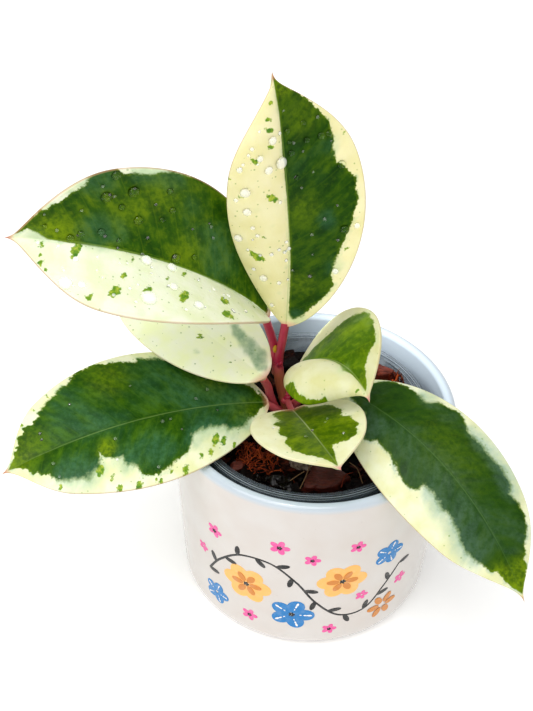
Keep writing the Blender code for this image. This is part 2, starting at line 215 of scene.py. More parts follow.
# White gloss glaze on stoneware: an even clean body colour under a clear, nearly mirror smooth coat.
# The coat ripples over centimetres, so its reflections swim a little, and fine specks sit in it.
glaze, tree, shader = new_material("white_gloss_glaze")
place = add(tree, "ShaderNodeTexCoord").outputs["Object"]
cloud = add(tree, "ShaderNodeTexNoise", {"Vector": place, "Scale": 1 / GLAZE_CLOUD, "Detail": 2.0})
glazed = add(tree, "ShaderNodeValToRGB", {"Fac": cloud}, stops=[(0.3, "#D2CAC3"), (0.7, "#D6D1CC")])
speck = add(tree, "ShaderNodeTexVoronoi", {"Vector": place, "Scale": 1 / GLAZE_SPECKS})
speck_share = add(tree, "ShaderNodeMapRange", {0: speck, 1: 0.03, 2: 0.06, 3: 0.35, 4: 0.0})
height = add(tree, "ShaderNodeSeparateXYZ", {0: place}).outputs["Z"]
# A bluish highlight is painted on the top of the lip.
lip_highlight_share = add(tree, "ShaderNodeMapRange", {
    0: height, 1: LIP_TURNS[0], 2: LIP_TURNS[1], 3: 0.0, 4: 0.65})
# The inside of the wall is painted a lighter bluish white, as painted light under the leaves.
flat_spot = add(tree, "ShaderNodeVectorMath", {0: place, 1: (1, 1, 0)}, operation="MULTIPLY")
from_axis = add(tree, "ShaderNodeVectorMath", {0: flat_spot}, operation="LENGTH")
upright = add(tree, "ShaderNodeMath", {
    0: height, 1: (POT_FOOT_RADIUS - POT_TOP_RADIUS) / POT_HEIGHT, 2: from_axis}, operation="MULTIPLY_ADD")
within = add(tree, "ShaderNodeMapRange", {
    0: upright, 1: POT_FOOT_RADIUS - 0.2 * POT_WALL, 2: POT_FOOT_RADIUS - 0.8 * POT_WALL})
above_foot = add(tree, "ShaderNodeMath", {0: height, 1: POT_FOOT_ROUND}, operation="GREATER_THAN")
inside_painted_light_share = add(tree, "ShaderNodeMath", {0: within, 1: above_foot}, operation="MULTIPLY")
foot_share = add(tree, "ShaderNodeMapRange", {
    0: height, 1: WIPED_FOOT[0], 2: WIPED_FOOT[1], 3: 1.0, 4: 0.0})
for share, colour in ((speck_share, "#B9AFA6"), (lip_highlight_share, "#B6C9D8"), (inside_painted_light_share, "#CEDBE7"),
                      (foot_share, "#D8C8AE")):
    glazed = add(tree, "ShaderNodeMix", {0: share, 6: glazed, 7: colour}, data_type="RGBA")
roughness = add(tree, "ShaderNodeMapRange", {
    0: height, 1: WIPED_FOOT[0], 2: WIPED_FOOT[1], 3: 0.8, 4: 0.14})
ripple = add(tree, "ShaderNodeTexNoise", {"Vector": place, "Scale": 1 / GLAZE_RIPPLE, "Detail": 1.0})
bump = add(tree, "ShaderNodeBump", {"Height": ripple, "Strength": 0.12, "Distance": 0.4 * MM})
feed(tree, shader, {
    "Base Color": glazed, "Roughness": roughness, "Normal": bump, "IOR": 1.5, "Coat Weight": 0.25,
    "Coat Roughness": 0.06})
cover_pot.data.materials.append(glaze)
finish_piece(cover_pot, "cachepot", "cachepot")


# Pot print
# A garland screen printed on a transfer and fired on the front of the glaze: a thin black tendril with
# leaves, amber, ochre and blue blooms, and small pink ones. Real ink is 0.02 mm thick, here 0.1 mm.

INK_THICKNESS = 0.1 * MM
INK_WELD = 0.001 * MM
INK_PATCHES = 2.5 * MM
TENDRIL_WIDTH = 0.9 * MM
TENDRIL_LEAVES = 15
TENDRIL_LEAF = Vector((5.0, 2.0, 1.0)) * MM
TENDRIL_LEAN = 0.9
TENDRIL = [(-37, 27), (-31, 37), (-22, 46), (-11, 47), (-2, 39), (5, 28), (14, 19), (24, 19), (31, 28),
           (37, 37)]
AMBER_SPOTS = [(-20, 31, 1.0), (14, 39, 0.95)]
OCHRE_SPOTS = AMBER_SPOTS + [(32, 16, 1.1)]
BLUE_SPOTS = [(-3, 20, 1.0), (31, 47, 0.72), (-34, 15, 0.7)]
PINK_SPOTS = [(-8, 57, 1.0), (3, 52, 0.8), (-33, 51, 0.9), (18, 57, 0.8), (11, 11, 0.8), (-19, 13, 0.9),
              (39, 27, 0.8), (-40, 36, 0.7), (22, 28, 0.7)]
WHITE_SPOTS = [(x, y, size * ring) for x, y, size in BLUE_SPOTS for ring in (0.75, 1.15, 1.5)]
BLACK_SPOTS = PINK_SPOTS[:6] + [(-20, 31, 1.2), (14, 39, 1.2), (-3, 20, 1.2)]
BLOOMS = {
    "amber": dict(colour="#F9BC66", at=AMBER_SPOTS, Petals=6, Length=8.6, Width=7.4, Place=5.2),
    "ochre": dict(colour="#D2852F", at=OCHRE_SPOTS, Petals=6, Length=4.6, Width=2.6, Place=3.6),
    "blue": dict(colour="#0E7CBE", at=BLUE_SPOTS, Petals=5, Length=7.4, Width=6.4, Place=4.6),
    "white": dict(colour="#F4F1EE", at=WHITE_SPOTS, Petals=5, Length=1.2, Width=0.55, Place=4.3),
    "pink": dict(colour="#EC5CA2", at=PINK_SPOTS, Petals=5, Length=3.0, Width=2.2, Place=2.1),
    "black": dict(colour="#07090A", at=BLACK_SPOTS, Petals=5, Length=0.8, Width=0.5, Place=0.6),
}
INK_LAYERS = {"amber": 0, "blue": 0, "pink": 0, "ochre": 1, "white": 1, "black": 1.5}


def new_tree(name, inputs):
    """An empty Geometry Nodes tree with these named inputs: name, socket type and default."""
    tree = bpy.data.node_groups.new(name, "GeometryNodeTree")
    tree.interface.new_socket("Geometry", in_out="INPUT", socket_type="NodeSocketGeometry")
    for label, kind, default in inputs:
        socket = tree.interface.new_socket(label, in_out="INPUT", socket_type="NodeSocket" + kind)
        if default is not None:
            socket.default_value = default
    tree.interface.new_socket("Geometry", in_out="OUTPUT", socket_type="NodeSocketGeometry")
    return tree, tree.nodes.new("NodeGroupInput").outputs


def end_tree(tree, geometry, material):
    """Close a tree and hand it over: real geometry instead of instances, with its material."""
    real = add(tree, "GeometryNodeRealizeInstances", {0: geometry})
    painted = add(tree, "GeometryNodeSetMaterial", {"Geometry": real, "Material": material})
    add(tree, "NodeGroupOutput", {0: painted})
    return tree


def made_by(tree, name, host, values):
    """The plain mesh object that a tree makes from a host mesh or curve and its named inputs."""
    holder = add_object(name, host)
    modifier = holder.modifiers.new(name, "NODES")
    modifier.node_group = tree
    for item in tree.interface.items_tree:
        if item.in_out == "INPUT" and item.name in values:
            modifier[item.identifier] = values[item.name]
    bpy.context.view_layer.update()
    mesh = bpy.data.meshes.new_from_object(holder.evaluated_get(bpy.context.evaluated_depsgraph_get()))
    holder.modifiers.remove(modifier)
    bpy.data.objects.remove(holder)
    mesh.name = name
    return add_object(name, mesh)


def thicken(tree, flat_shapes, thickness):
    """Flat faces as closed plates of ink: raised tops, side walls and turned undersides."""
    raised = add(tree, "GeometryNodeExtrudeMesh", {
        "Mesh": flat_shapes, "Offset Scale": thickness, "Individual": False})
    under = add(tree, "GeometryNodeFlipFaces", {"Mesh": flat_shapes})
    both = add(tree, "GeometryNodeJoinGeometry", {0: under})
    feed(tree, both, {0: raised})
    return add(tree, "GeometryNodeMergeByDistance", {"Geometry": both, "Distance": INK_WELD})


def wrap_on_pot(tree, geometry, lift):
    """Bend a drawing on the flat round the pot: x along the wall, y up it, z out of it."""
    spot = add(tree, "ShaderNodeSeparateXYZ", {0: add(tree, "GeometryNodeInputPosition")}).outputs
    taper = (POT_TOP_RADIUS - POT_FOOT_RADIUS) / POT_HEIGHT
    wall = add(tree, "ShaderNodeMath", {
        0: spot["Y"], 1: taper, 2: POT_FOOT_RADIUS}, operation="MULTIPLY_ADD")
    lifted = add(tree, "ShaderNodeMath", {0: spot["Z"], 1: lift}, operation="ADD")
    out = add(tree, "ShaderNodeMath", {0: wall, 1: lifted}, operation="ADD")
    turn = add(tree, "ShaderNodeMath", {0: spot["X"], 1: pot_radius(POT_HEIGHT / 2)}, operation="DIVIDE")
    sine = add(tree, "ShaderNodeMath", {0: turn}, operation="SINE")
    cosine = add(tree, "ShaderNodeMath", {0: turn}, operation="COSINE")
    right = add(tree, "ShaderNodeMath", {0: out, 1: sine}, operation="MULTIPLY")
    near = add(tree, "ShaderNodeMath", {0: out, 1: cosine}, operation="MULTIPLY")
    front = add(tree, "ShaderNodeMath", {0: near, 1: -1.0}, operation="MULTIPLY")
    place = add(tree, "ShaderNodeCombineXYZ", {"X": right, "Y": front, "Z": spot["Y"]})
    return add(tree, "GeometryNodeSetPosition", {"Geometry": geometry, "Position": place})


# Blooms: on each point of the host a ring of oval petals, as large as the point's spread says.
tree, inputs = new_tree("printed_blooms", [
    ("Petals", "Int", 6), ("Length", "Float", 8 * MM), ("Width", "Float", 6 * MM),
    ("Place", "Float", 5 * MM), ("Lift", "Float", 0.0), ("Thickness", "Float", INK_THICKNESS),
    ("Material", "Material", None)])
oval = add(tree, "GeometryNodeMeshCircle", {"Vertices": 20, "Radius": 0.5}, fill_type="TRIANGLE_FAN")
petal_size = add(tree, "ShaderNodeCombineXYZ", {"X": inputs["Length"], "Y": inputs["Width"], "Z": 1.0})
petal = add(tree, "GeometryNodeTransform", {"Geometry": oval, "Scale": petal_size})
step = add(tree, "ShaderNodeMath", {0: math.tau, 1: inputs["Petals"]}, operation="DIVIDE")
index = add(tree, "GeometryNodeInputIndex")
angle = add(tree, "ShaderNodeMath", {0: step, 1: index}, operation="MULTIPLY")
turned_by = add(tree, "ShaderNodeCombineXYZ", {"Z": angle})
out_along = add(tree, "ShaderNodeCombineXYZ", {"X": inputs["Place"]})
petal_place = add(tree, "ShaderNodeVectorRotate", {
    "Vector": out_along, "Rotation": turned_by}, rotation_type="EULER_XYZ")
ring = add(tree, "GeometryNodePoints", {"Count": inputs["Petals"], "Position": petal_place})
bloom = add(tree, "GeometryNodeInstanceOnPoints", {
    "Points": ring, "Instance": petal, "Rotation": turned_by})
spread = add(tree, "GeometryNodeInputNamedAttribute", {"Name": "spread"}, data_type="FLOAT")
drawing = add(tree, "GeometryNodeInstanceOnPoints", {
    "Points": inputs["Geometry"], "Instance": bloom, "Scale": spread})
flat_blooms = add(tree, "GeometryNodeRealizeInstances", {0: drawing})
plates = thicken(tree, flat_blooms, inputs["Thickness"])
bloom_tree = end_tree(tree, wrap_on_pot(tree, plates, inputs["Lift"]), inputs["Material"])


def enamel_ink(name, colour):
    """Ceramic transfer ink, melted into the glaze: flat colour with a soft gloss, a little uneven."""
    material, tree, shader = new_material(name)
    place = add(tree, "ShaderNodeTexCoord").outputs["Object"]
    patchy = add(tree, "ShaderNodeTexNoise", {"Vector": place, "Scale": 1 / INK_PATCHES, "Detail": 3.0})
    thin = add(tree, "ShaderNodeMapRange", {0: patchy, 1: 0.5, 2: 0.8, 3: 0.0, 4: 0.12})
    ink = add(tree, "ShaderNodeMix", {0: thin, 6: colour, 7: "#F1ECE8"}, data_type="RGBA")
    feed(tree, shader, {"Base Color": ink, "Roughness": 0.25})
    return material


inks = {}
for ink, bloom in BLOOMS.items():
    inks[ink] = enamel_ink("enamel_ink_" + ink, bloom["colour"])
    host = bpy.data.meshes.new("bloom_points")
    host.from_pydata([(x * MM, y * MM, 0) for x, y, _ in bloom["at"]], [], [])
    spreads = [size for _, _, size in bloom["at"]]
    host.attributes.new("spread", "FLOAT", "POINT").data.foreach_set("value", spreads)
    printed = made_by(bloom_tree, "print_" + ink, host, {
        "Petals": bloom["Petals"], "Length": bloom["Length"] * MM, "Width": bloom["Width"] * MM,
        "Place": bloom["Place"] * MM, "Lift": INK_LAYERS[ink] * INK_THICKNESS, "Material": inks[ink]})
    finish_piece(printed, "cachepot")

# Tendril: a round brush line along the host's path, pressed flat, with leaves to either side in turn.
tree, inputs = new_tree("printed_tendril", [
    ("Line width", "Float", TENDRIL_WIDTH), ("Leaves", "Int", TENDRIL_LEAVES),
    ("Leaf", "Vector", TENDRIL_LEAF), ("Lean", "Float", TENDRIL_LEAN),
    ("Thickness", "Float", INK_THICKNESS), ("Material", "Material", None)])
half_width = add(tree, "ShaderNodeMath", {0: inputs["Line width"], 1: 0.5}, operation="MULTIPLY")
pen = add(tree, "GeometryNodeCurvePrimitiveCircle", {"Resolution": 8, "Radius": half_width})
stroke = add(tree, "GeometryNodeCurveToMesh", {
    "Curve": inputs["Geometry"], "Profile Curve": pen, "Fill Caps": True})
squash = add(tree, "ShaderNodeMath", {0: inputs["Thickness"], 1: half_width}, operation="DIVIDE")
pressing = add(tree, "ShaderNodeCombineXYZ", {"X": 1.0, "Y": 1.0, "Z": squash})
pressed = add(tree, "GeometryNodeTransform", {"Geometry": stroke, "Scale": pressing})
knots = add(tree, "GeometryNodeCurveToPoints", {"Curve": inputs["Geometry"], "Count": inputs["Leaves"]})
heading = add(tree, "ShaderNodeSeparateXYZ", {0: knots.outputs["Tangent"]}).outputs
course = add(tree, "ShaderNodeMath", {0: heading["Y"], 1: heading["X"]}, operation="ARCTAN2")
index = add(tree, "GeometryNodeInputIndex")
parity = add(tree, "ShaderNodeMath", {0: index, 1: 2.0}, operation="MODULO")
side = add(tree, "ShaderNodeMath", {0: parity, 1: 2.0, 2: -1.0}, operation="MULTIPLY_ADD")
lean = add(tree, "ShaderNodeMath", {0: side, 1: inputs["Lean"], 2: course}, operation="MULTIPLY_ADD")
leaf_turn = add(tree, "ShaderNodeCombineXYZ", {"Z": lean})
oval = add(tree, "GeometryNodeMeshCircle", {"Vertices": 14, "Radius": 0.5}, fill_type="TRIANGLE_FAN")
shifted = add(tree, "GeometryNodeTransform", {"Geometry": oval, "Translation": (0.5, 0, 0)})
leaf_shape = add(tree, "GeometryNodeTransform", {"Geometry": shifted, "Scale": inputs["Leaf"]})
sprigs = add(tree, "GeometryNodeInstanceOnPoints", {
    "Points": knots, "Instance": leaf_shape, "Rotation": leaf_turn})
flat_leaves = add(tree, "GeometryNodeRealizeInstances", {0: sprigs})
leaf_plates = thicken(tree, flat_leaves, inputs["Thickness"])
drawn = add(tree, "GeometryNodeJoinGeometry", {0: pressed})
feed(tree, drawn, {0: leaf_plates})
tendril_tree = end_tree(tree, wrap_on_pot(tree, drawn, 0.0), inputs["Material"])


def smooth_path(points, spacing):
    """Points at about one spacing on a smooth curve through the given ones."""
    ends = [points[0] * 2 - points[1]] + points + [points[-1] * 2 - points[-2]]
    path = []
    for a, b, c, d in zip(ends, ends[1:], ends[2:], ends[3:]):
        steps = max(1, round((c - b).length / spacing))
        for step in range(steps):
            t = step / steps
            path.append(0.5 * (2 * b + (c - a) * t + (2 * a - 5 * b + 4 * c - d) * t ** 2
                               + (3 * b - a - 3 * c + d) * t ** 3))
    return path + [points[-1]]


def poly_curve(name, path, radii):
    """A curve through points, with a radius at each."""
    curve = bpy.data.curves.new(name, "CURVE")
    curve.dimensions = "3D"
    spline = curve.splines.new("POLY")
    spline.points.add(len(path) - 1)
    for point, spot, radius in zip(spline.points, path, radii):
        point.co = (*spot, 1)
        point.radius = radius
    return curve


tendril_path = smooth_path([Vector((x, y, 0)) * MM for x, y in TENDRIL], 1 * MM)
tendril_line = poly_curve("tendril", tendril_path, [1] * len(tendril_path))
tendril = made_by(tendril_tree, "print_tendril", tendril_line, {
    "Line width": TENDRIL_WIDTH, "Leaves": TENDRIL_LEAVES, "Material": inks["black"]})
finish_piece(tendril, "cachepot")


# Nursery pot
# A thin pot, blow moulded in clear, slightly smoky plastic. Its flange hooks outwards over the gap to
# the cover pot and has fine ring marks from the mould; the collar below it shows the mix behind it.

GAP = 0.3 * MM
NURSERY_CENTRE = Vector((-0.8, -2, 0)) * MM
NURSERY_RIM_HEIGHT = 76.8 * MM
FLANGE_RADIUS = 42.3 * MM
FLANGE_WIDTH = 3.4 * MM
FLANGE_SKIRT = 4 * MM
FLANGE_THICKNESS = 1.2 * MM
FLANGE_RINGS = 4
FLANGE_RING_DEPTH = 0.16 * MM
FLANGE_RING_HALF = 0.12 * MM
COLLAR_DEPTH = 8.5 * MM
COLLAR_STEP = 1.5 * MM
NURSERY_FLOOR_RADIUS = 31 * MM
NURSERY_WALL = 0.9 * MM
NURSERY_FOOT = 1.6 * MM
NURSERY_FOOT_WIDTH = 3 * MM
NURSERY_SIDES = 144
NURSERY_CORNER_STEPS = 5
NURSERY_SHARP = math.radians(35)
DRAW_LINES = 0.45 * MM
DRAW_DRIFT = 18 * MM


def nursery_wall_radius(z):
    """Outer radius of the clear pot's tapered wall."""
    top = NURSERY_RIM_HEIGHT - COLLAR_DEPTH
    bottom = POT_FLOOR + GAP
    top_radius = FLANGE_RADIUS - FLANGE_WIDTH + NURSERY_WALL - COLLAR_STEP
    return NURSERY_FLOOR_RADIUS + (top_radius - NURSERY_FLOOR_RADIUS) * (z - bottom) / (top - bottom)


foot = POT_FLOOR + GAP
floor_low = foot + NURSERY_FOOT
floor_high = floor_low + NURSERY_WALL
rim = NURSERY_RIM_HEIGHT
collar_inside = FLANGE_RADIUS - FLANGE_WIDTH
collar_low = rim - COLLAR_DEPTH
step_inside = collar_inside - COLLAR_STEP
ring_pitch = (FLANGE_WIDTH - 1.2 * MM) / FLANGE_RINGS
ring_marks = []
for ring in range(FLANGE_RINGS):
    groove = collar_inside + 0.6 * MM + ring_pitch * (ring + 0.5)
    ring_marks += [(groove - FLANGE_RING_HALF, rim, 0), (groove, rim - FLANGE_RING_DEPTH, 0),
                   (groove + FLANGE_RING_HALF, rim, 0)]
nursery_outline = rounded([
    (0, floor_high, 0),
    (nursery_wall_radius(floor_high) - NURSERY_WALL, floor_high, 0.6 * MM),
    (step_inside, collar_low, 0),
    (collar_inside, collar_low + COLLAR_STEP / 2, 0.5 * MM),
    (collar_inside, rim, 0.4 * MM),
    *ring_marks,
    (FLANGE_RADIUS, rim, 0.8 * MM),
    (FLANGE_RADIUS, rim - FLANGE_SKIRT, 0),
    (FLANGE_RADIUS - NURSERY_WALL, rim - FLANGE_SKIRT, 0),
    (FLANGE_RADIUS - NURSERY_WALL, rim - FLANGE_THICKNESS, 0),
    (collar_inside + NURSERY_WALL, rim - FLANGE_THICKNESS, 0),
    (collar_inside + NURSERY_WALL, collar_low, 0),
    (step_inside + NURSERY_WALL, collar_low - COLLAR_STEP / 2, 0),
    (NURSERY_FLOOR_RADIUS, foot, 0),
    (NURSERY_FLOOR_RADIUS - NURSERY_FOOT_WIDTH, foot, 0),
    (NURSERY_FLOOR_RADIUS - NURSERY_FOOT_WIDTH, floor_low, 0),
    (0, floor_low, 0),
], NURSERY_CORNER_STEPS)
nursery_pot = turned("nursery_pot_clear", nursery_outline, NURSERY_CENTRE, NURSERY_SIDES)
nursery_pot.data.set_sharp_from_angle(angle=NURSERY_SHARP)

# Clear smoky polypropylene: most light passes straight through the thin wall, and what stays is a grey
# haze with fine concentric draw lines, brighter where the mould's rings catch the light.
smoky, tree, shader = new_material("clear_smoky_polypropylene")
place = add(tree, "ShaderNodeTexCoord").outputs["Object"]
centred = add(tree, "ShaderNodeMapping", {"Vector": place, "Location": -NURSERY_CENTRE})
flat_spot = add(tree, "ShaderNodeVectorMath", {0: centred, 1: (1, 1, 0)}, operation="MULTIPLY")
radius = add(tree, "ShaderNodeVectorMath", {0: flat_spot}, operation="LENGTH")
angle_drift = add(tree, "ShaderNodeTexNoise", {"Vector": place, "Scale": 1 / DRAW_DRIFT, "Detail": 1.0})
drifted = add(tree, "ShaderNodeMath", {0: angle_drift, 1: 0.8 * MM, 2: radius}, operation="MULTIPLY_ADD")
ring_place = add(tree, "ShaderNodeCombineXYZ", {"X": drifted})
draw_lines = add(tree, "ShaderNodeTexNoise", {"Vector": ring_place, "Scale": 1 / DRAW_LINES, "Detail": 2.0})
haze = add(tree, "ShaderNodeValToRGB", {"Fac": draw_lines}, stops=[
    (0.36, "#424B52"), (0.52, "#69747C"), (0.64, "#C4CED6")])
bump = add(tree, "ShaderNodeBump", {"Height": draw_lines, "Strength": 0.5, "Distance": 0.1 * MM})
lines_share = add(tree, "ShaderNodeMapRange", {0: draw_lines, 1: 0.46, 2: 0.64, 3: 0.22, 4: 0.6})
feed(tree, shader, {
    "Base Color": haze, "Normal": bump, "Roughness": 0.22, "IOR": 1.49, "Alpha": lines_share})
nursery_pot.data.materials.append(smoky)
finish_piece(nursery_pot, "nursery_pot", "nursery_pot")


# Potting mix
# Coarse orchid mix: damp black compost with red-brown husk and bark chips of many sizes, a clump of
# rusty coir, loose fibres and a few pale stones. The chips are broken by hand and lie as they fell.

SOIL_HEIGHT = 70 * MM
SOIL_RELIEF = 1.2 * MM
SOIL_LUMP = 7 * MM
SOIL_CRUMB = 2.2 * MM
SOIL_CRUMB_HEIGHT = 0.5 * MM
SOIL_RINGS = 50
SOIL_SIDES = 150
SOIL_EDGE = 3 * MM
DUST_SIZE = 2.5 * MM

soil_low = floor_high + GAP
side_gap = NURSERY_WALL + GAP
soil_radius = collar_inside - 1.5 * GAP
soil_outline = [Vector((soil_radius * i / SOIL_RINGS, SOIL_HEIGHT)) for i in range(SOIL_RINGS + 1)]
soil_outline += [
    Vector((soil_radius, collar_low + COLLAR_STEP)),
    Vector((nursery_wall_radius(collar_low) - side_gap, collar_low - GAP)),
    Vector((nursery_wall_radius(soil_low) - side_gap, soil_low)),
    Vector((0, soil_low)),
]
mix_body = turned("potting_mix", soil_outline, NURSERY_CENTRE, SOIL_SIDES)
for vertex in mix_body.data.vertices:
    spot = vertex.co - NURSERY_CENTRE
    if vertex.co.z > SOIL_HEIGHT - MM and spot.xy.length < soil_radius - 0.5 * MM:
        edge_share = min(1, (soil_radius - spot.xy.length) / SOIL_EDGE)
        lumps = noise.fractal(spot / SOIL_LUMP, 1, 2, 2) * SOIL_RELIEF
        crumbs = noise.fractal(spot / SOIL_CRUMB, 0.8, 2.2, 3) * SOIL_CRUMB_HEIGHT
        vertex.co.z += (lumps + crumbs) * edge_share

# Damp compost: near black, with a dull sheen on the wet crumbs and rust where husk dust lies on it.
compost, tree, shader = new_material("damp_black_compost")
place = add(tree, "ShaderNodeTexCoord").outputs["Object"]
crumbs = add(tree, "ShaderNodeTexNoise", {
    "Vector": place, "Scale": 1 / DUST_SIZE, "Detail": 6.0, "Roughness": 0.7})
dust = add(tree, "ShaderNodeValToRGB", {"Fac": crumbs}, stops=[
    (0.35, "#040201"), (0.56, "#080302"), (0.68, "#1E0B06"), (0.8, "#4A200C")])
damp = add(tree, "ShaderNodeMapRange", {0: crumbs, 1: 0.35, 2: 0.7, 3: 0.35, 4: 0.9})
bump = add(tree, "ShaderNodeBump", {"Height": crumbs, "Strength": 0.9, "Distance": 1.2 * MM})
feed(tree, shader, {"Base Color": dust, "Roughness": damp, "Normal": bump, "Specular IOR Level": 0.25})
mix_body.data.materials.append(compost)
finish_piece(mix_body, "soil", "soil")


# Chips: blocks strewn on a patch of ground, turned at random, then broken up by one noise that runs
# through all of them, so no two are alike.
CHIP_KNOCKS = 2.6 * MM
CHIP_CROWDING = 300000.0

tree, inputs = new_tree("strewn_chips", [
    ("Spacing", "Float", 5 * MM), ("Density", "Float", 40000.0),
    ("Longest", "Vector", (6 * MM, 4 * MM, 2 * MM)), ("Shortest", "Float", 0.5), ("Tilt", "Float", 0.5),
    ("Broken", "Float", 1.2 * MM), ("Seed", "Int", 1), ("Lift", "Float", 0.5 * MM), ("Cuts", "Int", 3),
    ("Material", "Material", None)])
points = add(tree, "GeometryNodeDistributePointsOnFaces", {
    "Mesh": inputs["Geometry"], "Distance Min": inputs["Spacing"], "Density Max": inputs["Density"],
    "Seed": inputs["Seed"]}, distribute_method="POISSON")
block = add(tree, "GeometryNodeMeshCube", {
    "Size": inputs["Longest"], "Vertices X": inputs["Cuts"], "Vertices Y": inputs["Cuts"], "Vertices Z": 2})
turn = add(tree, "FunctionNodeRandomValue", {
    "Seed": inputs["Seed"], 0: (-1, -1, -math.pi), 1: (1, 1, math.pi)}, data_type="FLOAT_VECTOR")
tilt = add(tree, "ShaderNodeCombineXYZ", {"X": inputs["Tilt"], "Y": inputs["Tilt"], "Z": 1.0})
tilted = add(tree, "ShaderNodeVectorMath", {0: turn, 1: tilt}, operation="MULTIPLY")
size = add(tree, "FunctionNodeRandomValue", {"Seed": inputs["Seed"], 2: inputs["Shortest"], 3: 1.0})
strewn = add(tree, "GeometryNodeInstanceOnPoints", {
    "Points": points, "Instance": block, "Rotation": tilted, "Scale": size})
real = add(tree, "GeometryNodeRealizeInstances", {0: strewn})
spot = add(tree, "GeometryNodeInputPosition")
knocks = add(tree, "ShaderNodeTexNoise", {"Vector": spot, "Scale": 1 / CHIP_KNOCKS, "Detail": 1.0})
centred = add(tree, "ShaderNodeVectorMath", {
    0: knocks.outputs["Color"], 1: (0.5, 0.5, 0.5)}, operation="SUBTRACT")
spread = add(tree, "ShaderNodeVectorMath", {0: centred, "Scale": inputs["Broken"]}, operation="SCALE")
lifted = add(tree, "ShaderNodeCombineXYZ", {"Z": inputs["Lift"]})
moved = add(tree, "ShaderNodeVectorMath", {0: spread, 1: lifted}, operation="ADD")
broken = add(tree, "GeometryNodeSetPosition", {"Geometry": real, "Offset": moved})
chips_tree = end_tree(tree, broken, inputs["Material"])

# Husk and bark: red-brown flakes with long grain, darker where they are damp, with pale torn edges. The
# large chips that lie in the light take a lighter, redder and a little shinier copy, painted lighter there.
HUSK_TONES = {
    "red_brown_husk_chip": (["#040201", "#0C0402", "#200A05", "#54200F", "#8C4520"], 0.62, 0.2),
    "smooth_husk_shell": (["#2C0F09", "#4A1C12", "#662C1E", "#844232", "#A05C48"], 0.45, 0.4),
}
HUSK_GRAIN = 3 * MM
husk_skins = {}
for name, (tones, roughness, shine) in HUSK_TONES.items():
    husk, tree, shader = new_material(name)
    place = add(tree, "ShaderNodeTexCoord").outputs["Object"]
    apart = add(tree, "ShaderNodeNewGeometry").outputs["Random Per Island"]
    grain_place = add(tree, "ShaderNodeMapping", {
        "Vector": place, "Rotation": (0.4, 0.3, 0.7), "Scale": (1, 4, 3)})
    grain = add(tree, "ShaderNodeTexNoise", {
        "Vector": grain_place, "Scale": 1 / HUSK_GRAIN, "Detail": 5.0, "Roughness": 0.65})
    tone = add(tree, "ShaderNodeMath", {0: apart, 1: 0.45, 2: grain}, operation="MULTIPLY_ADD")
    tone_share = add(tree, "ShaderNodeMapRange", {0: tone, 1: 0.3, 2: 1.1})
    flake = add(tree, "ShaderNodeValToRGB", {"Fac": tone_share},
                stops=list(zip((0.0, 0.35, 0.62, 0.84, 1.0), tones)))
    bump = add(tree, "ShaderNodeBump", {"Height": grain, "Strength": 0.8, "Distance": 0.5 * MM})
    feed(tree, shader, {
        "Base Color": flake, "Normal": bump, "Roughness": roughness, "Specular IOR Level": shine})
    husk_skins[name] = husk


def mesh_of(name, edit):
    """The mesh that an edit has made."""
    mesh = bpy.data.meshes.new(name)
    edit.to_mesh(mesh)
    edit.free()
    return mesh


patch = bmesh.new()
bmesh.ops.create_circle(patch, cap_ends=True, segments=48, radius=soil_radius - 4 * MM)
bmesh.ops.translate(patch, verts=patch.verts, vec=NURSERY_CENTRE + Vector((0, 0, SOIL_HEIGHT)))
ground = mesh_of("ground", patch)
CHIP_SIZES = {
    "bark_chips": dict(Spacing=10 * MM, Longest=(11 * MM, 7 * MM, 3.2 * MM), Tilt=0.45, Broken=3.2 * MM,
                       Seed=6, Lift=0.4 * MM, Cuts=4),
    "husk_flakes": dict(Spacing=4.2 * MM, Longest=(6 * MM, 3.4 * MM, 1.4 * MM), Tilt=0.8, Broken=1.8 * MM,
                        Seed=8, Lift=0.9 * MM, Cuts=3),
    "husk_crumbs": dict(Spacing=1.7 * MM, Longest=(2.6 * MM, 1.7 * MM, 1.1 * MM), Tilt=1.2,
                        Broken=0.9 * MM, Seed=11, Lift=0.8 * MM, Cuts=2),
}
for name, values in CHIP_SIZES.items():
    chips = made_by(chips_tree, name, ground.copy(), {
        **values, "Material": husk_skins["red_brown_husk_chip"], "Density": CHIP_CROWDING})
    finish_piece(chips, "soil")

# The larger chips are laid one by one, in mm: an outline seen from above, the height of its top, a
# thickness and a skin, painted lighter where the chip lies in the light. The seed keeps their knocks the
# same.
LARGE_CHIPS = {
    "front": ([(1.2, -26), (9, -25.8), (14, -30.4), (8.6, -35.2), (2.5, -36.2), (-2.2, -35.6),
               (-0.4, -31.5)], 75, 4.5, "smooth_husk_shell"),
    "left": ([(-27, -26), (-24, -24.1), (-21.7, -27.7), (-22.7, -29.4), (-25.5, -29.1)], 73.6, 3,
             "smooth_husk_shell"),
    "standing": ([(19, 24), (25, 25.5), (29, 21), (24, 18.5), (20, 20)], 77, 7, "smooth_husk_shell"),
    "back": ([(-12, 25), (-7, 27), (-4, 23), (-8, 20.5), (-12.5, 21.5)], 75.5, 5, "red_brown_husk_chip"),
    "middle": ([(-3, 12), (3, 14), (5, 9.5), (0, 7), (-4, 8.5)], 74, 4, "red_brown_husk_chip"),
}
CHIP_BEVEL = 0.7 * MM
KNOCK_SEED = 1


def knock_about(edit, knocks):
    """Roughen a solid all over: each knock is the size of its lumps and how far it reaches, in mm."""
    for vertex in edit.verts:
        for size, reach in knocks:
            vertex.co += noise.noise_vector(vertex.co / (size * MM)) * reach * MM


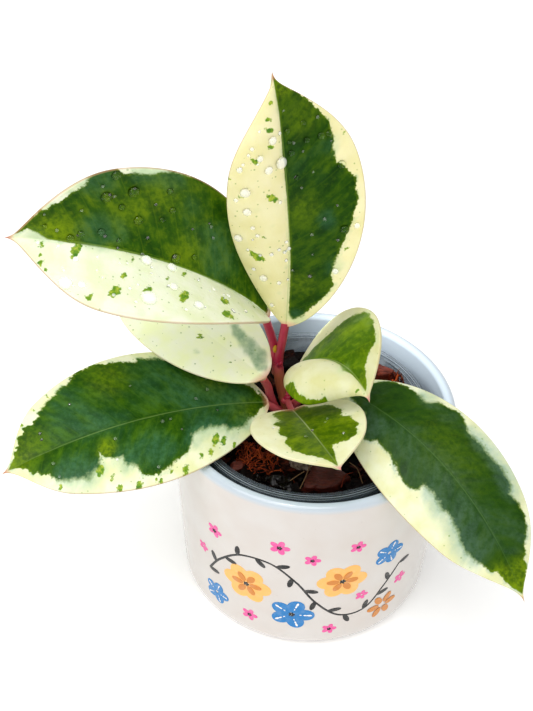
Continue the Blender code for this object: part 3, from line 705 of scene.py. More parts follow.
noise.seed_set(KNOCK_SEED)
large_chips = bmesh.new()
for corners, top, thickness, skin in LARGE_CHIPS.values():
    outline = [large_chips.verts.new((x * MM, y * MM, top * MM)) for x, y in corners]
    face = large_chips.faces.new(outline)
    face.material_index = list(HUSK_TONES).index(skin)
    grown = bmesh.ops.extrude_face_region(large_chips, geom=[face])["geom"]
    lowered = [item for item in grown if isinstance(item, bmesh.types.BMVert)]
    bmesh.ops.translate(large_chips, verts=lowered, vec=(0, 0, -thickness * MM))
bmesh.ops.bevel(
    large_chips, geom=large_chips.edges, offset=CHIP_BEVEL, segments=1, affect="EDGES", material=-1)
bmesh.ops.triangulate(large_chips, faces=large_chips.faces)
bmesh.ops.subdivide_edges(large_chips, edges=large_chips.edges, cuts=3, use_grid_fill=True)
bmesh.ops.recalc_face_normals(large_chips, faces=large_chips.faces)
knock_about(large_chips, ((4, 1.28), (1.1, 0.32)))
large_mesh = mesh_of("large_husk_chips", large_chips)
large_mesh.shade_smooth()
for husk in husk_skins.values():
    large_mesh.materials.append(husk)
finish_piece(add_object("large_husk_chips", large_mesh), "soil")

# Pebbles: small lumps of charcoal and pumice, rolled smooth, each with its place and three half widths in
# mm. Wet stone: a smooth dark or grey body under a film of water, with faint veins.
PEBBLES = {
    "dark_pebbles": dict(stone="wet_charcoal", tones=("#050303", "#180E0A"), roughness=0.25, shine=0.3, at=[
        ((-9.8, -32.2, 71.4), (4.6, 2.8, 2.2)), ((-5.6, -34, 71.2), (2.8, 1.9, 1.6)),
        ((-15.5, -31.5, 71.2), (2.6, 1.8, 1.6))]),
    "pale_pebbles": dict(stone="wet_pumice", tones=("#5A4A40", "#8A7A6E"), roughness=0.45, shine=0.5, at=[
        ((-2.9, -24.6, 73.2), (4.2, 2.6, 2.2)), ((13.5, 30.5, 72.2), (2.4, 1.8, 1.5))]),
}
STONE_VEINS = 1.5 * MM
for name, kind in PEBBLES.items():
    pebbles = bmesh.new()
    for spot, half_widths in kind["at"]:
        shape = Matrix.LocRotScale(Vector(spot) * MM, None, Vector(half_widths) * MM)
        bmesh.ops.create_icosphere(pebbles, subdivisions=4, radius=1, matrix=shape)
    knock_about(pebbles, ((2.4, 1.9), (0.9, 0.35)))
    pebble_mesh = mesh_of(name, pebbles)
    pebble_mesh.shade_smooth()
    stone, tree, shader = new_material(kind["stone"])
    place = add(tree, "ShaderNodeTexCoord").outputs["Object"]
    veining = add(tree, "ShaderNodeTexNoise", {"Vector": place, "Scale": 1 / STONE_VEINS, "Detail": 4.0})
    tone = add(tree, "ShaderNodeValToRGB", {"Fac": veining}, stops=list(zip((0.35, 0.65), kind["tones"])))
    feed(tree, shader, {
        "Base Color": tone, "Roughness": kind["roughness"], "Specular IOR Level": kind["shine"]})
    pebble_mesh.materials.append(stone)
    finish_piece(add_object(name, pebble_mesh), "soil")

# Coir: strands of one length strewn on a patch, turned at random, bent by one noise through all of them.
COIR_CROWDING = 3000000.0
COIR_SWAY = 3.5 * MM

tree, inputs = new_tree("tangled_coir", [
    ("Spacing", "Float", 1.1 * MM), ("Length", "Float", 9 * MM), ("Thickness", "Float", 0.24 * MM),
    ("Curl", "Float", 5 * MM), ("Tilt", "Float", 0.6), ("Seed", "Int", 3), ("Material", "Material", None)])
points = add(tree, "GeometryNodeDistributePointsOnFaces", {
    "Mesh": inputs["Geometry"], "Distance Min": inputs["Spacing"], "Density Max": COIR_CROWDING,
    "Seed": inputs["Seed"]}, distribute_method="POISSON")
half_length = add(tree, "ShaderNodeMath", {0: inputs["Length"], 1: 0.5}, operation="MULTIPLY")
other_half = add(tree, "ShaderNodeMath", {0: inputs["Length"], 1: -0.5}, operation="MULTIPLY")
start = add(tree, "ShaderNodeCombineXYZ", {"X": other_half})
end = add(tree, "ShaderNodeCombineXYZ", {"X": half_length})
line = add(tree, "GeometryNodeCurvePrimitiveLine", {"Start": start, "End": end})
fine_line = add(tree, "GeometryNodeResampleCurve", {"Curve": line, "Count": 10})
turn = add(tree, "FunctionNodeRandomValue", {
    "Seed": inputs["Seed"], 0: (-1, -1, -math.pi), 1: (1, 1, math.pi)}, data_type="FLOAT_VECTOR")
tilt = add(tree, "ShaderNodeCombineXYZ", {"X": inputs["Tilt"], "Y": inputs["Tilt"], "Z": 1.0})
tilted = add(tree, "ShaderNodeVectorMath", {0: turn, 1: tilt}, operation="MULTIPLY")
size = add(tree, "FunctionNodeRandomValue", {"Seed": inputs["Seed"], 2: 0.4, 3: 1.0})
strewn = add(tree, "GeometryNodeInstanceOnPoints", {
    "Points": points, "Instance": fine_line, "Rotation": tilted, "Scale": size})
real = add(tree, "GeometryNodeRealizeInstances", {0: strewn})
spot = add(tree, "GeometryNodeInputPosition")
sway = add(tree, "ShaderNodeTexNoise", {"Vector": spot, "Scale": 1 / COIR_SWAY, "Detail": 1.0})
centred = add(tree, "ShaderNodeVectorMath", {
    0: sway.outputs["Color"], 1: (0.5, 0.5, 0.5)}, operation="SUBTRACT")
swayed = add(tree, "ShaderNodeVectorMath", {0: centred, "Scale": inputs["Curl"]}, operation="SCALE")
bent = add(tree, "GeometryNodeSetPosition", {"Geometry": real, "Offset": swayed})
circle = add(tree, "GeometryNodeCurvePrimitiveCircle", {"Resolution": 5, "Radius": inputs["Thickness"]})
strands = add(tree, "GeometryNodeCurveToMesh", {"Curve": bent, "Profile Curve": circle, "Fill Caps": True})
coir_tree = end_tree(tree, strands, inputs["Material"])

# Rusty coir and dry roots: dull fibres, orange where they are fresh and brown where the damp has got in.
FIBRE_TONES = {
    "rusty_coir": ("#38120A", "#7E3216", "#AC5626"),
    "dry_root_fibre": ("#5A4330", "#8A6F52", "#B09878"),
}
fibre_skins = {}
for name, tones in FIBRE_TONES.items():
    fibre, tree, shader = new_material(name)
    apart = add(tree, "ShaderNodeNewGeometry").outputs["Random Per Island"]
    tone = add(tree, "ShaderNodeValToRGB", {"Fac": apart}, stops=list(zip((0.0, 0.5, 1.0), tones)))
    feed(tree, shader, {"Base Color": tone, "Roughness": 0.7, "Specular IOR Level": 0.25})
    fibre_skins[name] = fibre

HEAP_FOOT = 71.5 * MM
HEAP_RISE = 3.5 * MM
COIR_CLUMPS = {
    "coir_front": ([(-24.2, -15.8), (-16.5, -17.5), (-9.5, -23), (-11.3, -28.2), (-20.1, -27.6),
                    (-24.6, -22.5)],
                   dict(Spacing=0.75 * MM, Length=8.5 * MM, Thickness=0.17 * MM, Curl=7 * MM, Tilt=0.8,
                        Seed=3)),
    "coir_right": ([(27, 13), (33.5, 12.5), (32, 20), (26, 23)],
                   dict(Spacing=1.1 * MM, Length=9 * MM, Thickness=0.4 * MM, Curl=3 * MM, Tilt=1.5,
                        Seed=9)),
}
for name, (corners, values) in COIR_CLUMPS.items():
    heap = bmesh.new()
    outline = [heap.verts.new((x * MM, y * MM, HEAP_FOOT)) for x, y in corners]
    middle = sum((v.co for v in outline), Vector()) / len(outline)
    crown = heap.verts.new(middle + Vector((0, 0, HEAP_RISE)))
    for near, far in zip(outline, outline[1:] + outline[:1]):
        heap.faces.new((near, far, crown))
    clump = made_by(coir_tree, name, mesh_of(name, heap), {**values, "Material": fibre_skins["rusty_coir"]})
    finish_piece(clump, "soil")

# Loose fibres: single dry roots that lie across the chips.
ROOT_THICKNESS = 0.2 * MM
tree, inputs = new_tree("loose_root", [
    ("Thickness", "Float", ROOT_THICKNESS), ("Material", "Material", None)])
circle = add(tree, "GeometryNodeCurvePrimitiveCircle", {"Resolution": 6, "Radius": inputs["Thickness"]})
root = add(tree, "GeometryNodeCurveToMesh", {
    "Curve": inputs["Geometry"], "Profile Curve": circle, "Fill Caps": True})
root_tree = end_tree(tree, root, inputs["Material"])
ROOTS = {
    "root_pale": ([(0.5, -26.5, 77), (-0.8, -32, 75.5), (-2.6, -36.4, 73.5)], "dry_root_fibre"),
    "root_short": ([(-6, -33.6, 74), (-3.9, -32.2, 75), (-1.5, -31, 76.2)], "dry_root_fibre"),
    "root_right": ([(10.9, -35, 74), (12, -31.9, 76.5), (14.5, -29.9, 76)], "rusty_coir"),
    "root_far_right": ([(13.3, -25.9, 76.5), (15.9, -28.6, 76.5), (17.9, -32.6, 74)], "dry_root_fibre"),
}
for name, (points_at, fibre) in ROOTS.items():
    path = smooth_path([Vector(p) * MM for p in points_at], 0.8 * MM)
    loose_root = made_by(root_tree, name, poly_curve(name, path, [1] * len(path)), {
        "Thickness": ROOT_THICKNESS, "Material": fibre_skins[fibre]})
    finish_piece(loose_root, "soil")


# Stem and leaf stalks
# One short woody stem with brown bark that turns crimson at its upper node. Each leaf has its own round
# fleshy stalk, crimson above and salmon pink below, which swells where it grows from the stem.

STEM_RADIUS = 1.95 * MM
STALK_RADIUS = 1.55 * MM
YOUNG_STALK_RADIUS = 1.15 * MM
STALK_SIDES = 20
STALK_SWELLING = 0.25
STALK_TIP_SHARE = 0.9
STALK_RUN_IN = 1.2
STALK_BELOW = 1.1
STEM_TIP_SHARE = 0.95
STREAK_SIZE = 0.9 * MM
STEM_POINTS = [(-9, 1.5, 57), (-9, 1.5, 64), (-9, 1.5, 71), (-9.5, 1.5, 75.3), (-10.6, 1.9, 79.2),
               (-12.1, 2.4, 86.2), (-13.2, 3, 93.6)]
STALKS = {
    "leaf_top": [(-12.7, 3, 89.5), (-12.5, 1.8, 97.6), (-11.6, -0.6, 106.2)],
    "leaf_upper_left": [(-13.1, 3.3, 88.6), (-14, 3, 97.4), (-15.3, 1.8, 105.7)],
    "leaf_middle_left": [(-9.6, 1.2, 72), (-12.9, 0, 74.4), (-15, -1.8, 82), (-15.7, -3.6, 87.5)],
    "leaf_lower_left": [(-9.4, 1, 71.8), (-11, -1.6, 73.4), (-12.8, -3.8, 77.5)],
    "leaf_lower_right": [(-9, 1.5, 73), (-5, 1.5, 77.5), (0.5, 0, 83.5), (5, -2.4, 88)],
    "leaf_young_front": [(-10.2, 1, 78), (-8.7, -1.5, 79), (-8, -5.5, 81.2)],
    "leaf_young_back": [(-10.2, 1, 78.5), (-8.6, 1.5, 82)],
}
BUDS = {
    "tip_bud": ((-14, 1, 99.6), (-13.8, 0.4, 103.2), 0.85, 0.0),
    "scale": ((-12.9, 1.3, 93), (-11.6, 0.1, 96.2), 0.75, 0.95),
    "low_bud": ((-10.2, 1, 78.6), (-8.2, -0.4, 80.6), 1.2, 0.95),
}
TONES = {
    "leaf_top": (0.6, 0.92, 0.3), "leaf_upper_left": (0.35, 0.88, 0.3), "leaf_middle_left": (0.7, 0.6, 1.0),
    "leaf_lower_left": (0.65, 0.6, 1.0), "leaf_lower_right": (0.6, 0.7, 1.0),
    "leaf_young_front": (0.62, 0.58, 1.0), "leaf_young_back": (0.7, 0.6, 1.0),
}


@dataclass
class Blade:
    """One leaf blade, in millimetres and degrees. Pairs run from base to tip, or left to right."""

    base: tuple
    heading: tuple
    rise: tuple
    roll: tuple
    length: float
    half_width: tuple
    fold: tuple
    curl: tuple
    skew: float
    shoulder: float
    drip: tuple
    groove: float = 0.13


BLADES = {
    "leaf_top": Blade(
        base=(-10.5, -2.5, 114), heading=(127, 158), rise=(93, 77), roll=(-26, -4), length=90.5,
        half_width=(19.5, 24.5), fold=(0, 22), curl=(-55, 0), skew=1.1, shoulder=0.65, drip=(0.5, 0.05)),
    "leaf_upper_left": Blade(
        base=(-16, 0, 115.5), heading=(205, 191), rise=(53, 4), roll=(-20, -57), length=95,
        half_width=(25, 27.5), fold=(22, 28), curl=(10, 15), skew=1.15, shoulder=0.7, drip=(0.45, 0.05)),
    "leaf_middle_left": Blade(
        base=(-16.5, -7, 95), heading=(143, 146), rise=(6, 20), roll=(-6, -16), length=80,
        half_width=(18.5, 20.5), fold=(11, 7), curl=(-15, -20), skew=0.9, shoulder=0.55, drip=(0.4, 0.05),
        groove=0.02),
    "leaf_lower_left": Blade(
        base=(-15, -6, 83), heading=(203, 211), rise=(16, -15), roll=(-16, -14), length=94,
        half_width=(24, 25), fold=(5, 10), curl=(-20, -10), skew=1, shoulder=0.8, drip=(0.35, 0.05)),
    "leaf_lower_right": Blade(
        base=(9, -5.5, 91), heading=(-37, -52), rise=(9, -50), roll=(12, 10), length=96,
        half_width=(19.5, 21.5), fold=(5, 1), curl=(-15, -25), skew=0.9, shoulder=0.7, drip=(0.45, 0.05)),
    "leaf_young_front": Blade(
        base=(-7, -11, 85), heading=(-69, -66), rise=(25, 12), roll=(2, 4), length=46.5,
        half_width=(18, 20), fold=(16, 15), curl=(-5, -5), skew=0.85, shoulder=0.7, drip=(0.6, 0.085)),
    "leaf_young_back": Blade(
        base=(-7.5, 1, 90), heading=(-24, -70), rise=(66, -20), roll=(-26, 31), length=47.5,
        half_width=(20.5, 21), fold=(40, 26), curl=(-10, -95), skew=0.95, shoulder=0.55, drip=(0.6, 0.085)),
}


def blade_axes(blade, t):
    """Directions along the midrib, to the leaf's left and up from its face, at each t from base to tip."""
    heading, rise, roll = (np.radians(pair[0] + (pair[1] - pair[0]) * t)
                           for pair in (blade.heading, blade.rise, blade.roll))
    along = np.stack([np.cos(rise) * np.cos(heading), np.cos(rise) * np.sin(heading), np.sin(rise)], -1)
    level = np.stack([-np.sin(heading), np.cos(heading), 0 * heading], -1)
    up = np.cross(along, level)
    left = np.cos(roll)[:, None] * level + np.sin(roll)[:, None] * up
    return along, left, np.cross(along, left)


# A stalk: a round rod along its path, with its radius from the path's own, finely wrinkled. The value tone
# goes from its foot to its tip: 0 for an olive yellow bud, 0.25 brown bark, 0.6 salmon pink, 1 crimson.
tree, inputs = new_tree("round_stalk", [
    ("Sides", "Int", STALK_SIDES), ("Wrinkle", "Float", 0.08 * MM), ("Foot tone", "Float", 0.0),
    ("Tip tone", "Float", 1.0), ("Turns at", "Float", 0.0), ("Turned by", "Float", 1.0),
    ("Material", "Material", None)])
share = add(tree, "GeometryNodeSplineParameter")
tone = add(tree, "ShaderNodeMapRange", {
    "Value": share, "From Min": inputs["Turns at"], "From Max": inputs["Turned by"],
    "To Min": inputs["Foot tone"], "To Max": inputs["Tip tone"]})
toned = add(tree, "GeometryNodeStoreNamedAttribute", {
    "Geometry": inputs["Geometry"], "Name": "tone", "Value": tone}, data_type="FLOAT", domain="POINT")
circle = add(tree, "GeometryNodeCurvePrimitiveCircle", {"Resolution": inputs["Sides"], "Radius": 1.0})
girth = add(tree, "GeometryNodeInputRadius")
rod = add(tree, "GeometryNodeCurveToMesh", {
    "Curve": toned, "Profile Curve": circle, "Scale": girth, "Fill Caps": True})
spot = add(tree, "GeometryNodeInputPosition")
skin = add(tree, "ShaderNodeTexNoise", {"Vector": spot, "Scale": 1 / (1.6 * MM), "Detail": 2.0})
proud = add(tree, "ShaderNodeMath", {0: skin, 1: 0.5}, operation="SUBTRACT")
depth = add(tree, "ShaderNodeMath", {0: proud, 1: inputs["Wrinkle"]}, operation="MULTIPLY")
facing = add(tree, "GeometryNodeInputNormal")
push = add(tree, "ShaderNodeVectorMath", {0: facing, "Scale": depth}, operation="SCALE")
wrinkled = add(tree, "GeometryNodeSetPosition", {"Geometry": rod, "Offset": push})
stalk_tree = end_tree(tree, wrinkled, inputs["Material"])

# Young bark and stalk skin: satin and faintly waxy, brown at the foot, salmon pink and crimson above,
# with fine lengthwise streaks and small pale pores.
stalk_skin, tree, shader = new_material("crimson_stalk_skin")
place = add(tree, "ShaderNodeTexCoord").outputs["Object"]
tone = add(tree, "ShaderNodeAttribute", attribute_name="tone").outputs["Fac"]
streaks = add(tree, "ShaderNodeMapping", {"Vector": place, "Scale": (1, 1, 0.2)})
streak = add(tree, "ShaderNodeTexNoise", {"Vector": streaks, "Scale": 1 / STREAK_SIZE, "Detail": 3.0})
uneven = add(tree, "ShaderNodeMath", {0: streak, 1: 0.2, 2: tone}, operation="MULTIPLY_ADD")
shifted = add(tree, "ShaderNodeMath", {0: uneven, 1: 0.1}, operation="SUBTRACT")
stalk_colour = add(tree, "ShaderNodeValToRGB", {"Fac": shifted}, stops=[
    (0.06, "#B08A10"), (0.14, "#8A5438"), (0.32, "#A6684A"), (0.58, "#C9686A"), (0.8, "#BC3A5E"),
    (1.0, "#98263E")])
bump = add(tree, "ShaderNodeBump", {"Height": streak, "Strength": 0.35, "Distance": 0.3 * MM})
feed(tree, shader, {
    "Base Color": stalk_colour, "Normal": bump, "Roughness": 0.38, "Subsurface Weight": 0.15,
    "Subsurface Scale": 1 * MM})


def stalk_curve(name, points, radius, swelling, tip_share):
    """A path with its radii: swollen at its foot, thinning to a share of its radius at the tip."""
    path = smooth_path([Vector(p) * MM for p in points], 0.6 * MM)
    radii = []
    for index, spot in enumerate(path):
        t = index / (len(path) - 1)
        bulge = swelling * math.exp(-((spot - path[0]).length / (1.8 * MM)) ** 2)
        radii.append(radius * (1 + (tip_share - 1) * t + bulge))
    return poly_curve(name, path, radii)


stem_line = stalk_curve("stem", STEM_POINTS, STEM_RADIUS, 0, STEM_TIP_SHARE)
stem_pieces = [made_by(stalk_tree, "stem", stem_line, {
    "Foot tone": 0.25, "Tip tone": 0.7, "Turns at": 0.84, "Turned by": 1.0, "Material": stalk_skin})]
for name, points in STALKS.items():
    radius = YOUNG_STALK_RADIUS if "young" in name else STALK_RADIUS
    blade = BLADES[name]
    along, _, up = blade_axes(blade, np.zeros(1))
    end = Vector(blade.base) + Vector(along[0]) * STALK_RUN_IN - Vector(up[0]) * STALK_BELOW
    curve = stalk_curve("stalk_" + name, points + [tuple(end)], radius, STALK_SWELLING, STALK_TIP_SHARE)
    foot_tone, tip_tone, turned_by = TONES[name]
    stem_pieces.append(made_by(stalk_tree, "stalk_" + name, curve, {
        "Foot tone": foot_tone, "Tip tone": tip_tone, "Turned by": turned_by, "Material": stalk_skin}))
for name, (foot_spot, tip_spot, radius, tone) in BUDS.items():
    path = smooth_path([Vector(foot_spot) * MM, Vector(tip_spot) * MM], 0.15 * MM)
    shares = [math.sin(math.pi * (0.08 + 0.9 * i / (len(path) - 1))) ** 0.7 for i in range(len(path))]
    radii = [radius * MM * share for share in shares]
    stem_pieces.append(made_by(stalk_tree, name, poly_curve(name, path, radii), {
        "Foot tone": tone, "Tip tone": tone, "Material": stalk_skin}))

joined = bmesh.new()
for piece in stem_pieces:
    joined.from_mesh(piece.data)
stem_mesh = mesh_of("stem_and_stalks", joined)
stem_mesh.materials.append(stalk_skin)
stem_mesh.shade_smooth()
for piece in stem_pieces:
    bpy.data.objects.remove(piece)
stem = add_object("stem_and_stalks", stem_mesh)
finish_piece(stem, "stem", "stem")


# Leaves
# Thick waxy blades that grew flat and arched, pointed at the tip. Each is part deep green, part cream
# tissue without any green in it, with scalloped borders along the side veins and a thin pink edge.

BLADE_RIB = 2.2
BLADE_EDGE = 1.1
BLADE_ROWS = 200
BLADE_COLUMNS = 40
YOUNG_ROWS = 130
YOUNG_COLUMNS = 34
VEIN_SLANT = 0.6
FLECK_STRETCH = 1.35
QUILT_SIZE = 5
QUILT_HEIGHT = 0.16
GROOVE_WIDTH = 0.7
KEEL_WIDTH = 1.3
KEEL_DEPTH = 0.7
WALK_STEPS = 400


@dataclass
class Pattern:
    """Where a blade is coloured: t goes from base to tip, v across, 1 at the left edge, -1 at the right.

    The limits bound the main green patch, from its base end to its tip end; a blade without one has a
    single point well behind its base instead. A patch more is a closed outline. A fleck, veil or light
    spot is its t, v and radius in mm, and a veil or light has a strength too; a veil is partly painted
    sheen."""

    left_limit: tuple
    right_limit: tuple
    patches: tuple = ()
    flecks: tuple = ()
    veils_and_sheen: tuple = ()
    lights: tuple = ()


